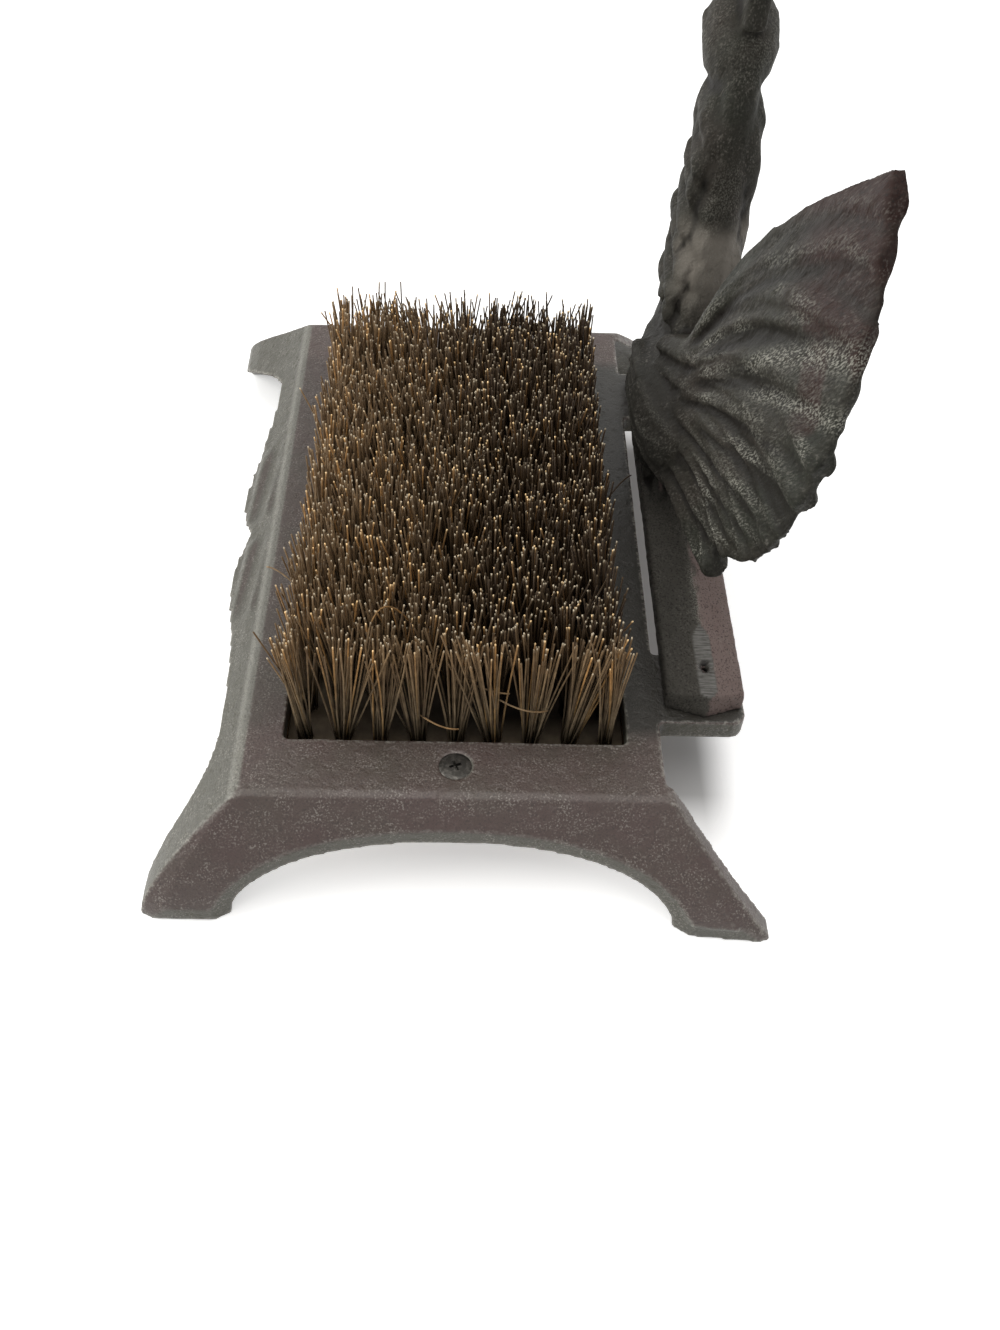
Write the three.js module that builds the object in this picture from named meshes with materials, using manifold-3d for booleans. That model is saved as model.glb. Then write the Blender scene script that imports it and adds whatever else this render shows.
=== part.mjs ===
// A boot scraper: a cast-iron stand, a bristle brush let into its top, and a cockerel on a bar beside it.
// Millimetres, +Z up. X runs across the stand, Y along it, and the cockerel faces +Y.
import * as THREE from "three";
import { mergeVertices } from "three/addons/utils/BufferGeometryUtils.js";
import Module from "manifold-3d";

// Stand
const TOP_WIDTH = 118;
const TOP_LENGTH = 224;
const TOP_HEIGHT = 36;
const TOP_THICKNESS = 7;
const EDGE_CHAMFER = 2;
const EDGE_DROP = 0.8;
const FLARE_X = 27.5;
const FLARE_Y = 21;
const FLARE_POWER = 1.65;
const BAR_LEG_FLARE = 30;
const BAR_LEG_POWER = 1.1;
const BAR_TOE = 3.5;
const PLAIN_DRAW = 2;
const TOE_START = 50;
const REAR_KNEE = 6;
const WALL = 6;
const CORNER_CUT_X = 6;
const CORNER_CUT_Y = 2.5;
const SIDE_BORDER = 10;
const END_BORDER = 18;
const OPENING_RADIUS = 1.5;
const CORNER_SHARE = 0.1;

// Arches between the feet, and the two leaves that hang from the plain side's apron
const END_ARCH_WIDTH = 126;
const END_APRON = 13.5;
const ARCH_FULLNESS = 2.3;
const LIP_HEIGHT = 6;
const LIP_SPREAD = 5;
const SIDE_ARCH_FRONT = 121;
const SIDE_ARCH_REAR = 129;
const SIDE_APRON = 7.3;
const SIDE_SHOULDER_FRONT = 38;
const SIDE_SHOULDER_REAR = 48;
const SIDE_SPRING_FRONT = 8;
const SIDE_SPRING_REAR = 35;
const LEAF_DROP = 4.4;
const LEAF_REACH = 21;
const LEAF_SWELL = 36;
const LEAF_NOTCH = 3.2;

// Bar and the two ledges that carry it
const BAR_GAP = 1.9;
const BAR_WIDTH = 23;
const BAR_LENGTH = 168;
const BAR_SIDE = 6;
const BAR_ROOF = 4;
const BAR_POINT = 4;
const LEDGE_WIDTH = 27;
const LEDGE_OVERHANG = 0.6;
const LEDGE_END = 1.7;
const LEDGE_RADIUS = 4;
const BREAKTHROUGH = 2;

// Screws: countersunk ones hold the brush board, pan-headed ones come up through the ledges
const BRUSH_SCREW_HEAD = 9.3;
const BRUSH_SCREW_SHANK = 4.6;
const BRUSH_SCREW_LENGTH = 17;
const BAR_SCREW_HEAD = 9.5;
const BAR_SCREW_HEAD_HEIGHT = 3.2;
const BAR_SCREW_SHANK = 5;
const BAR_SCREW_REACH = 5.5;
const RECESS_SPAN = 5;
const RECESS_WIDTH = 1.1;
const RECESS_DEPTH = 1.6;

// Brush
const BOARD_THICKNESS = 12;
const BOARD_LAP_SIDE = 5;
const BOARD_LAP_END = 15;
const BACKING = 3;
const TUFT_MARGIN = 5.5;
const TUFT_COLUMNS = 9;
const TUFT_ROWS = 16;
const BRISTLE_GROUPS = 4;
const STRANDS_PER_TUFT = 3;
const TUFT_RADIUS = 1.6;
const TUFT_SPREAD = 4.3;
const TUFT_LEAN = 0.05;
const STRAND_FOOT = 0.85;
const STRAND_TIP = 0.5;
const BRISTLE_HEIGHT = 28;
const BRISTLE_FALL = 7;
const BRISTLE_RAGGED = 2.2;

// Cockerel, with heights above the foot of its bar and places along it from FIGURE_Y
const FIGURE_Y = 18;
const BODY_LENGTH = 86;
const BODY_WIDTH = 36;
const BODY_DEPTH = 46;
const BODY_HEIGHT = 38;
const RUMP_RISE = 12;
const BREAST_LENGTH = 46;
const BREAST_WIDTH = 30;
const BREAST_HEIGHT = 38;
const NAPE_Y = -3;
const NECK_FOOT = 42;
const NECK_TOP = 138;
const NECK_FOOT_DEPTH = 50;
const NECK_TOP_DEPTH = 24;
const NECK_FOOT_WIDTH = 20;
const NECK_TOP_WIDTH = 11;
const NECK_SQUARENESS = 0.65;
const NECK_CROWN = 16;
const HACKLE_ROWS = 4;
const HACKLE_COLUMNS = 3;
const HACKLE_PITCH = 19;
const HACKLE_LENGTH = 34;
const HACKLE_LOW = 62;
const HACKLE_LIFT = 3.6;
const HACKLE_REAR_SHARE = 0.25;
const HACKLE_FRONT_SHARE = 0.85;
const HEAD_LENGTH = 33;
const HEAD_WIDTH = 21;
const HEAD_HEIGHT = 29;
const EYE_SIZE = 5;
const EYE_SINK = 1.5;
const BEAK_LENGTH = 28;
const BEAK_DEPTH = 14;
const BEAK_WIDTH = 13;
const BEAK_TIP = 1.6;
const BEAK_DROP = 4;
const COMB_LENGTH = 34;
const COMB_HEIGHT = 26;
const COMB_RAKE = 9;
const COMB_SINK = 6.5;
const COMB_THICKNESS = 6;
const COMB_POINTS = 5;
const COMB_VALLEY = 0.45;
const WATTLE_LENGTH = 20;
const WATTLE_WIDTH = 7;
const WATTLE_THICKNESS = 5;
const WATTLE_SWELL = 14;
const WATTLE_CLOSURE = 0.97;
const RIB_GROOVE = 2.2;
const RIB_SHARE = 0.35;
const RIB_PROFILE = [1, 0, 0.15, 0.5];
const TAIL_FEATHERS = 11;
const TAIL_SHORT = 66;
const TAIL_LONG = 189;
const TAIL_SWELL = 8;
const TAIL_LOW_ANGLE = 0;
const TAIL_HIGH_ANGLE = 48;
const TAIL_BOW = 38;
const TAIL_SAG = 14;
const TAIL_ROOT_Y = -10;
const TAIL_ROOT_HEIGHT = 45;
const TAIL_ROOT_THICKNESS = 30;
const TAIL_TIP_THICKNESS = 3;
const TAIL_SCALLOP = 0.006;
const SADDLE_FEATHERS = 6;
const SADDLE_LENGTH = 84;
const SADDLE_SAG = 6;
const SADDLE_ROOT_Y = 6;
const SADDLE_LOW = 28;
const SADDLE_HIGH = 60;
const SADDLE_LOW_ANGLE = 2;
const SADDLE_HIGH_ANGLE = 34;
const SADDLE_ROOT_THICKNESS = 30;
const SADDLE_TIP_THICKNESS = 5;
const SADDLE_SCALLOP = 0.04;
const WING_FEATHERS = 4;
const WING_LENGTH = 62;
const WING_SHORTENING = 10;
const WING_SAG = 3;
const WING_ROOT_Y = 24;
const WING_LOW = 32;
const WING_HIGH = 50;
const WING_LOW_ANGLE = -10;
const WING_HIGH_ANGLE = 4;
const WING_ROOT_THICKNESS = 37;
const WING_TIP_THICKNESS = 18;
const WING_SCALLOP = 0.08;
const THIGH_SPREAD = 8;
const THIGH_LENGTH = 28;
const THIGH_WIDTH = 18;
const SHANK_DIAMETER = 9;
const FOOT_SPREAD = 6.4;
const TOE_LENGTH = 15;
const TOE_DIAMETER = 5.5;
const TOE_SPLAY = 20;

// Clearances, cutting margins and curve fineness
const FIT_GAP = 0.3;
const CUT_MARGIN = 5;
const WALL_STEPS = 12;
const ARCH_STEPS = 22;
const ROUND_SIDES = 16;
const BODY_SIDES = 14;
const BODY_STEPS = 10;
const NECK_STEPS = 6;
const FAN_STEPS = 9;

const wasm = await Module();
wasm.setup();

const { lerp, degToRad } = THREE.MathUtils;
const at = (x, y, z) => new THREE.Vector3(x, y, z);
const ACROSS = at(1, 0, 0);
const ALONG = at(0, 1, 0);
const UP = at(0, 0, 1);
// Extrusions whose profile is drawn in the end view (X, Z) or in the side view (Y, Z)
const END_VIEW = new THREE.Matrix4().makeBasis(ACROSS, UP, ALONG.clone().negate());
const SIDE_VIEW = new THREE.Matrix4().makeBasis(ALONG, UP, ACROSS);

function solidOf(geometry) {
  geometry.deleteAttribute("normal");
  geometry.deleteAttribute("uv");
  const merged = mergeVertices(geometry, 1e-4);
  return new wasm.Manifold(
    new wasm.Mesh({
      numProp: 3,
      vertProperties: merged.attributes.position.array,
      triVerts: new Uint32Array(merged.index.array),
    }),
  );
}

const join = (solids) => wasm.Manifold.union(solids);

// Closed skin over rings of equally many points, each ring running anticlockwise about the way ahead.
// The two halves of the first ring, and of the last, are laced together as its ends.
function loft(rings) {
  const sides = rings[0].length;
  const index = [];
  for (let r = 0; r + 1 < rings.length; r++) {
    for (let i = 0; i < sides; i++) {
      const a = r * sides + i;
      const b = r * sides + ((i + 1) % sides);
      index.push(a, b, b + sides, a, b + sides, a + sides);
    }
  }
  const last = (rings.length - 1) * sides;
  for (let i = 0; 2 * i + 2 < sides; i++) {
    const far = sides - 1 - i;
    index.push(i, far, far - 1, last + i, last + far - 1, last + far);
    if (far - 1 > i + 1) {
      index.push(i, far - 1, i + 1, last + i, last + i + 1, last + far - 1);
    }
  }
  const geometry = new THREE.BufferGeometry().setFromPoints(rings.flat());
  return geometry.setIndex(index);
}

// Oval section carried along a curve that runs in the lengthwise plane; sizes(t) gives [depth, width].
function sweep(curve, steps, sides, sizes) {
  const rings = [];
  for (let s = 0; s <= steps; s++) {
    const t = s / steps;
    const centre = curve.getPoint(t);
    const normal = ACROSS.clone().cross(curve.getTangent(t)).normalize();
    const [depth, width] = sizes(t);
    const ring = [];
    for (let i = 0; i < sides; i++) {
      const angle = (2 * Math.PI * i) / sides;
      const point = centre.clone().addScaledVector(normal, (depth / 2) * Math.cos(angle));
      ring.push(point.addScaledVector(ACROSS, (width / 2) * Math.sin(angle)));
    }
    rings.push(ring);
  }
  return solidOf(loft(rings));
}

// Prism of a shape, drawn in the given view and centred on its own depth.
function prism(shape, depth, view) {
  const geometry = new THREE.ExtrudeGeometry(shape, { depth, bevelEnabled: false, curveSegments: 8 });
  geometry.translate(0, 0, -depth / 2);
  return solidOf(view ? geometry.applyMatrix4(view) : geometry);
}

function box(width, length, height) {
  return solidOf(new THREE.BoxGeometry(width, length, height));
}

// Turned piece from a half profile of [radius, height] pairs.
function turned(profile) {
  const points = profile.map(([radius, height]) => new THREE.Vector2(radius, height));
  const geometry = new THREE.LatheGeometry(points, ROUND_SIDES);
  return solidOf(geometry.rotateX(Math.PI / 2));
}

function oval(width, length, height, centre) {
  const geometry = new THREE.SphereGeometry(0.5, 12, 8);
  geometry.scale(width, length, height);
  return solidOf(geometry.translate(centre.x, centre.y, centre.z));
}

function roundedRectangle(width, length, radius) {
  const shape = new THREE.Shape();
  const x = width / 2 - radius;
  const y = length / 2 - radius;
  shape.absarc(x, -y, radius, -Math.PI / 2, 0);
  shape.absarc(x, y, radius, 0, Math.PI / 2);
  shape.absarc(-x, y, radius, Math.PI / 2, Math.PI);
  shape.absarc(-x, -y, radius, Math.PI, 1.5 * Math.PI);
  return shape;
}

const scraper = new THREE.Group();

function addPiece(parent, name, solid, color, roughness, metalness) {
  const { vertProperties, triVerts } = solid.getMesh();
  const geometry = new THREE.BufferGeometry();
  geometry.setAttribute("position", new THREE.BufferAttribute(vertProperties, 3));
  geometry.setIndex(new THREE.BufferAttribute(triVerts, 1));
  geometry.computeVertexNormals();
  const mesh = new THREE.Mesh(geometry, new THREE.MeshStandardMaterial({ color, roughness, metalness }));
  mesh.name = name;
  parent.add(mesh);
  return mesh;
}

// Places that several pieces share
const OPENING_WIDTH = TOP_WIDTH - 2 * SIDE_BORDER;
const OPENING_LENGTH = TOP_LENGTH - 2 * END_BORDER;
const END_ARCH_HEIGHT = TOP_HEIGHT - END_APRON;
const SIDE_ARCH_HEIGHT = TOP_HEIGHT - SIDE_APRON;
const TOP_UNDERSIDE = TOP_HEIGHT - TOP_THICKNESS;
const BAR_X = TOP_WIDTH / 2 + BAR_GAP + BAR_WIDTH / 2;
const LEDGE_Y = BAR_LENGTH / 2 + LEDGE_END - LEDGE_WIDTH / 2;
const BRUSH_SCREW_Y = (TOP_LENGTH + OPENING_LENGTH) / 4;
const ENDS = { front: -1, rear: 1 };
const SIDES = [-1, 1];

// Stand walls: they lean out from the edge of the top and turn upright towards the floor.
const FLARE_START = TOP_HEIGHT - EDGE_DROP;
// On the bar's side the legs run out straighter and further.
const flareAt = (z, power = FLARE_POWER) => 1 - (Math.max(z, 0) / FLARE_START) ** power;
const plainSideAt = (z) => TOP_WIDTH / 2 + EDGE_CHAMFER + FLARE_X * flareAt(z);
const barSideAt = (z) => TOP_WIDTH / 2 + EDGE_CHAMFER + BAR_LEG_FLARE * flareAt(z, BAR_LEG_POWER);
const halfLengthAt = (z) => TOP_LENGTH / 2 + EDGE_CHAMFER + FLARE_Y * flareAt(z);

// How far the ends' walls swing out towards the bar's feet, or draw in towards the plain side's.
function swingAt(x) {
  if (x > TOE_START) {
    return (BAR_TOE * (x - TOE_START)) / (barSideAt(0) - TOE_START);
  }
  return (PLAIN_DRAW * (x - TOE_START)) / (plainSideAt(0) + TOE_START);
}

// Outline of the stand at one height, with shares of the feet's swing and of their corner cut.
// The plain side's rear leg stands out in a knee half-way down.
function standRing(plain, bar, y, swing, share, z) {
  const xCut = CORNER_CUT_X * share;
  const yCut = CORNER_CUT_Y * share;
  const barEnd = y + BAR_TOE * swing;
  const plainEnd = y - PLAIN_DRAW * swing;
  const rear = -plain - REAR_KNEE * Math.sin((Math.PI * z) / FLARE_START) ** 4;
  return [
    at(bar, yCut - barEnd, z),
    at(bar, barEnd - yCut, z),
    at(bar - xCut, barEnd, z),
    at(TOE_START, y, z),
    at(rear + xCut, plainEnd, z),
    at(rear, plainEnd - yCut, z),
    at(-plain, yCut - plainEnd, z),
    at(xCut - plain, -plainEnd, z),
    at(TOE_START, -y, z),
    at(bar - xCut, -barEnd, z),
  ];
}

function wallRing(z, inset) {
  const swing = flareAt(z);
  const sides = [plainSideAt(z) - inset, barSideAt(z) - inset];
  return standRing(...sides, halfLengthAt(z) - inset, swing, CORNER_SHARE + swing, z);
}

function standBlank() {
  const rings = [];
  for (let i = 0; i <= WALL_STEPS; i++) {
    rings.push(wallRing((FLARE_START * i) / WALL_STEPS, 0));
  }
  rings.push(standRing(TOP_WIDTH / 2, TOP_WIDTH / 2, TOP_LENGTH / 2, 0, CORNER_SHARE, TOP_HEIGHT));
  return solidOf(loft(rings));
}

function standHollow() {
  const rings = [wallRing(-CUT_MARGIN, WALL)];
  for (let i = 0; i <= WALL_STEPS; i++) {
    rings.push(wallRing((TOP_UNDERSIDE * i) / WALL_STEPS, WALL));
  }
  return solidOf(loft(rings));
}

// Height of a full, flattened arch above its span.
function archHeightAt(x, halfSpan, rise) {
  const share = Math.min(Math.abs(x) / halfSpan, 1);
  return rise * (1 - share ** ARCH_FULLNESS) ** (1 / ARCH_FULLNESS);
}

function endArch() {
  const half = END_ARCH_WIDTH / 2;
  const shape = new THREE.Shape();
  shape.moveTo(-half, -CUT_MARGIN);
  shape.lineTo(half, -CUT_MARGIN);
  for (let i = 0; i <= ARCH_STEPS; i++) {
    const x = half * Math.cos((Math.PI * i) / ARCH_STEPS);
    shape.lineTo(x, archHeightAt(x, half, END_ARCH_HEIGHT));
  }
  return prism(shape, 2 * (halfLengthAt(0) + BAR_TOE + CUT_MARGIN), END_VIEW);
}

// Below this line the end walls drop straight down, which leaves an upright lip round the arch and feet.
function lipLineAt(x) {
  const arch = archHeightAt(x, END_ARCH_WIDTH / 2 + LIP_SPREAD, END_ARCH_HEIGHT + LIP_HEIGHT);
  return Math.max(arch, LIP_HEIGHT);
}

function lipCut(end) {
  const reach = Math.max(plainSideAt(0), barSideAt(0)) + CUT_MARGIN;
  const far = halfLengthAt(0) + BAR_TOE + CUT_MARGIN;
  const rings = [];
  for (let i = 0; i <= 2 * ARCH_STEPS; i++) {
    const x = -end * reach * Math.cos((Math.PI * i) / (2 * ARCH_STEPS));
    const line = lipLineAt(x);
    const face = halfLengthAt(line) + swingAt(x) * flareAt(line);
    const corners = [[far, -CUT_MARGIN], [far, line], [face, line], [face, -CUT_MARGIN]];
    rings.push(corners.map(([y, z]) => at(x, end * y, z)));
  }
  return solidOf(loft(rings));
}

// The plain side: an arch with two leaves in the middle of its apron, parted by a notch.
function leafArch() {
  const front = SIDE_SHOULDER_FRONT - SIDE_ARCH_FRONT;
  const rear = SIDE_ARCH_REAR - SIDE_SHOULDER_REAR;
  const leaf = SIDE_ARCH_HEIGHT - LEAF_DROP;
  const shape = new THREE.Shape();
  shape.moveTo(-SIDE_ARCH_FRONT, -CUT_MARGIN);
  shape.lineTo(SIDE_ARCH_REAR, -CUT_MARGIN);
  shape.lineTo(SIDE_ARCH_REAR, 0);
  shape.quadraticCurveTo(SIDE_ARCH_REAR - SIDE_SPRING_REAR, SIDE_ARCH_HEIGHT, rear, SIDE_ARCH_HEIGHT);
  shape.bezierCurveTo((rear + LEAF_REACH) / 2, SIDE_ARCH_HEIGHT, LEAF_SWELL, leaf, LEAF_REACH, leaf);
  shape.quadraticCurveTo(LEAF_REACH / 3, leaf, 0, leaf + LEAF_NOTCH);
  shape.quadraticCurveTo(-LEAF_REACH / 3, leaf, -LEAF_REACH, leaf);
  shape.bezierCurveTo(-LEAF_SWELL, leaf, (front - LEAF_REACH) / 2, SIDE_ARCH_HEIGHT, front, SIDE_ARCH_HEIGHT);
  shape.quadraticCurveTo(SIDE_SPRING_FRONT - SIDE_ARCH_FRONT, SIDE_ARCH_HEIGHT, -SIDE_ARCH_FRONT, 0);
  const depth = plainSideAt(0);
  return prism(shape, depth, SIDE_VIEW).translate([-depth / 2 - OPENING_WIDTH / 2, 0, 0]);
}

// The bar's side has no apron: only the end walls' own thickness reaches past the top there.
function barSideCut() {
  const shape = new THREE.Shape();
  const heights = [-CUT_MARGIN];
  for (let i = 0; i <= WALL_STEPS; i++) {
    heights.push((TOP_HEIGHT * i) / WALL_STEPS);
  }
  heights.push(TOP_HEIGHT + CUT_MARGIN);
  const edge = heights.map((z) => [halfLengthAt(Math.min(z, FLARE_START)) - WALL, z]);
  edge.forEach(([y, z], i) => (i ? shape.lineTo(y, z) : shape.moveTo(y, z)));
  edge.reverse().forEach(([y, z]) => shape.lineTo(-y, z));
  const depth = BAR_LEG_FLARE + EDGE_CHAMFER + CUT_MARGIN;
  return prism(shape, depth, SIDE_VIEW).translate([TOP_WIDTH / 2 + depth / 2, 0, 0]);
}

function ledge(end) {
  const inner = OPENING_WIDTH / 2 + LEDGE_RADIUS;
  const outer = BAR_X + BAR_WIDTH / 2 + LEDGE_OVERHANG;
  const blank = prism(roundedRectangle(outer - inner, LEDGE_WIDTH, LEDGE_RADIUS), TOP_THICKNESS);
  return blank.translate([(outer + inner) / 2, end * LEDGE_Y, TOP_UNDERSIDE + TOP_THICKNESS / 2]);
}

// Countersunk screw, or with a gap the hole that takes it: its head is level with height 0.
function brushScrewShape(gap) {
  const head = BRUSH_SCREW_HEAD / 2 + gap;
  const shank = BRUSH_SCREW_SHANK / 2 + gap;
  const tip = -BRUSH_SCREW_LENGTH - gap;
  const point = [[0, tip], [shank / 3, tip], [shank, tip + 3 * shank]];
  return turned([...point, [shank, shank - head], [head, 0], [0, 0]]);
}

function roundHole(diameter, depth) {
  const radius = diameter / 2 + FIT_GAP;
  return turned([[0, 0], [radius, 0], [radius, depth], [0, depth]]);
}

function makeStand() {
  const opening = prism(roundedRectangle(OPENING_WIDTH, OPENING_LENGTH, OPENING_RADIUS), 3 * TOP_THICKNESS);
  const cuts = [standHollow(), endArch(), leafArch(), barSideCut()];
  cuts.push(opening.translate([0, 0, TOP_HEIGHT]));
  const ledges = [];
  const holes = [];
  for (const end of Object.values(ENDS)) {
    cuts.push(lipCut(end));
    ledges.push(ledge(end));
    holes.push(brushScrewShape(FIT_GAP).translate([0, end * BRUSH_SCREW_Y, TOP_HEIGHT]));
    const bore = roundHole(BAR_SCREW_SHANK, TOP_THICKNESS + 2 * CUT_MARGIN);
    holes.push(bore.translate([BAR_X, end * LEDGE_Y, TOP_UNDERSIDE - CUT_MARGIN]));
  }
  const casting = standBlank().subtract(join(cuts));
  return join([casting, ...ledges]).subtract(join(holes));
}

addPiece(scraper, "stand", makeStand(), 0x3a3130, 0.62, 0.55);

// Brush board: clamped under the top, with a shallow pocket for the bristle backing.
const PITCH_X = (OPENING_WIDTH - 2 * TUFT_MARGIN) / (TUFT_COLUMNS - 1);
const PITCH_Y = (OPENING_LENGTH - 2 * TUFT_MARGIN) / (TUFT_ROWS - 1);
const BACKING_WIDTH = PITCH_X * TUFT_COLUMNS;
const GROUP_ROWS = TUFT_ROWS / BRISTLE_GROUPS;
const GROUP_LENGTH = PITCH_Y * GROUP_ROWS;

function makeBoard() {
  const width = OPENING_WIDTH + 2 * BOARD_LAP_SIDE;
  const length = OPENING_LENGTH + 2 * BOARD_LAP_END;
  const board = box(width, length, BOARD_THICKNESS).translate([0, 0, -BOARD_THICKNESS / 2]);
  const pocketLength = GROUP_LENGTH * BRISTLE_GROUPS + FIT_GAP;
  const cuts = [box(BACKING_WIDTH + 2 * FIT_GAP, pocketLength, 2 * BACKING)];
  for (const end of Object.values(ENDS)) {
    cuts.push(brushScrewShape(FIT_GAP).translate([0, end * BRUSH_SCREW_Y, TOP_THICKNESS]));
  }
  return board.subtract(join(cuts));
}

const brush = new THREE.Group();
brush.position.z = TOP_UNDERSIDE;
scraper.add(brush);
addPiece(brush, "brush_board", makeBoard(), 0x6b4a2e, 0.8, 0);

// Strands start close together in their tuft and spread over the tuft's own share of the brush.
function strand(tuftX, tuftY, turn, ragged) {
  const rings = [];
  const ends = [
    { z: -BACKING / 2, radius: STRAND_FOOT, lean: 1, spread: TUFT_RADIUS },
    {
      z: TOP_THICKNESS + BRISTLE_HEIGHT - (BRISTLE_FALL * tuftY) / OPENING_LENGTH + ragged,
      radius: STRAND_TIP,
      lean: 1 + TUFT_LEAN,
      spread: TUFT_SPREAD,
    },
  ];
  for (const { z, radius, lean, spread } of ends) {
    const x = tuftX * lean + spread * Math.cos(turn);
    const y = tuftY * lean + spread * Math.sin(turn);
    const ring = [];
    for (let i = 0; i < 3; i++) {
      const angle = turn + (2 * Math.PI * i) / 3;
      ring.push(at(x + radius * Math.cos(angle), y + radius * Math.sin(angle), z));
    }
    rings.push(ring);
  }
  return solidOf(loft(rings));
}

function makeBristles(group) {
  const middle = (group - (BRISTLE_GROUPS - 1) / 2) * GROUP_LENGTH;
  const backing = box(BACKING_WIDTH, GROUP_LENGTH - FIT_GAP, BACKING);
  const pieces = [backing.translate([0, middle, -BACKING / 2])];
  for (let row = 0; row < GROUP_ROWS; row++) {
    for (let column = 0; column < TUFT_COLUMNS; column++) {
      const x = (column - (TUFT_COLUMNS - 1) / 2) * PITCH_X;
      const y = middle + (row - (GROUP_ROWS - 1) / 2) * PITCH_Y;
      const tuft = (group * GROUP_ROWS + row) * TUFT_COLUMNS + column;
      for (let i = 0; i < STRANDS_PER_TUFT; i++) {
        const turn = tuft + (2 * Math.PI * i) / STRANDS_PER_TUFT;
        pieces.push(strand(x, y, turn, BRISTLE_RAGGED * Math.sin(5 * tuft + 2 * i)));
      }
    }
  }
  return join(pieces);
}

for (let group = 0; group < BRISTLE_GROUPS; group++) {
  addPiece(brush, `bristles_${group + 1}`, makeBristles(group), 0x7a4a24, 0.75, 0);
}

// Cross recess in a screw's head, cut down from height 0.
function crossRecess() {
  const slot = box(RECESS_SPAN, RECESS_WIDTH, 2 * RECESS_DEPTH);
  return slot.add(box(RECESS_WIDTH, RECESS_SPAN, 2 * RECESS_DEPTH));
}

function makeBarScrew() {
  const head = BAR_SCREW_HEAD / 2;
  const shank = BAR_SCREW_SHANK / 2;
  const crown = -BAR_SCREW_HEAD_HEIGHT;
  const top = TOP_THICKNESS + BAR_SCREW_REACH;
  const pan = [[0, crown], [head * 0.6, crown], [head, crown / 3], [head, 0]];
  const screw = turned([...pan, [shank, 0], [shank, top], [0, top]]);
  return screw.subtract(crossRecess().translate([0, 0, crown]));
}

for (const [end, side] of Object.entries(ENDS)) {
  const brushScrew = brushScrewShape(0).subtract(crossRecess());
  const held = addPiece(scraper, `brush_screw_${end}`, brushScrew, 0x2a2624, 0.45, 0.9);
  held.position.set(0, side * BRUSH_SCREW_Y, TOP_HEIGHT);
  const barScrew = addPiece(scraper, `bar_screw_${end}`, makeBarScrew(), 0x4a4644, 0.45, 0.9);
  barScrew.position.set(BAR_X, side * LEDGE_Y, TOP_UNDERSIDE);
}

// Bar: a low gabled section with pointed ends, tapped from below for its two screws.
function makeBar() {
  const half = BAR_WIDTH / 2;
  const gable = new THREE.Shape();
  gable.moveTo(-half, 0);
  gable.lineTo(half, 0);
  gable.lineTo(half, BAR_SIDE);
  gable.lineTo(0, BAR_SIDE + BAR_ROOF);
  gable.lineTo(-half, BAR_SIDE);
  const shoulder = BAR_LENGTH / 2 - BAR_POINT;
  const plan = new THREE.Shape();
  plan.moveTo(-half, -shoulder);
  plan.lineTo(0, -BAR_LENGTH / 2);
  plan.lineTo(half, -shoulder);
  plan.lineTo(half, shoulder);
  plan.lineTo(0, BAR_LENGTH / 2);
  plan.lineTo(-half, shoulder);
  const height = BAR_SIDE + BAR_ROOF;
  const holes = [];
  for (const end of Object.values(ENDS)) {
    const tapped = roundHole(BAR_SCREW_SHANK, CUT_MARGIN + BAR_SCREW_REACH + FIT_GAP);
    holes.push(tapped.translate([0, end * LEDGE_Y, -CUT_MARGIN]));
    const breakthrough = roundHole(BREAKTHROUGH, height + CUT_MARGIN);
    holes.push(breakthrough.translate([0, end * LEDGE_Y, 0]));
  }
  const blank = prism(gable, BAR_LENGTH, END_VIEW).intersect(prism(plan, 2 * height));
  return blank.subtract(join(holes));
}

const curve = (...points) => new THREE.CatmullRomCurve3(points);
const figureAt = (x, y, z) => at(x, FIGURE_Y + y, z);

function makeBody() {
  const rump = figureAt(0, -BODY_LENGTH / 2, BODY_HEIGHT + RUMP_RISE);
  const breast = figureAt(0, BODY_LENGTH / 2, BODY_HEIGHT);
  const spine = curve(rump, figureAt(0, 0, BODY_HEIGHT), breast);
  return sweep(spine, BODY_STEPS, BODY_SIDES, (t) => {
    const fullness = Math.sin(Math.PI * lerp(0.02, 0.98, t)) ** 0.6;
    return [BODY_DEPTH * fullness, BODY_WIDTH * fullness];
  });
}

// Neck: upright, square-shouldered, with a straight nape.
const neckShareAt = (z) => (z - NECK_FOOT) / (NECK_TOP - NECK_FOOT);
const neckDepthAt = (z) => lerp(NECK_FOOT_DEPTH, NECK_TOP_DEPTH, Math.sqrt(neckShareAt(z)));
const neckWidthAt = (z) => lerp(NECK_FOOT_WIDTH, NECK_TOP_WIDTH, neckShareAt(z));

function neckRing(z, share, rise) {
  const depth = neckDepthAt(z) / 2;
  const width = neckWidthAt(z) / 2;
  const ring = [];
  for (let i = 0; i < BODY_SIDES; i++) {
    const angle = (2 * Math.PI * i) / BODY_SIDES;
    const x = Math.sign(Math.cos(angle)) * Math.abs(Math.cos(angle)) ** NECK_SQUARENESS;
    const y = Math.sign(Math.sin(angle)) * Math.abs(Math.sin(angle)) ** NECK_SQUARENESS;
    ring.push(figureAt(x * width * share, NAPE_Y + depth + y * depth * share, z + rise));
  }
  return ring;
}

function makeNeck() {
  const rings = [];
  for (let s = 0; s <= NECK_STEPS; s++) {
    rings.push(neckRing(lerp(NECK_FOOT, NECK_TOP, s / NECK_STEPS), 1, 0));
  }
  for (const turn of [Math.PI / 6, Math.PI / 3]) {
    rings.push(neckRing(NECK_TOP, Math.cos(turn), NECK_CROWN * Math.sin(turn)));
  }
  return solidOf(loft(rings));
}

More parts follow.
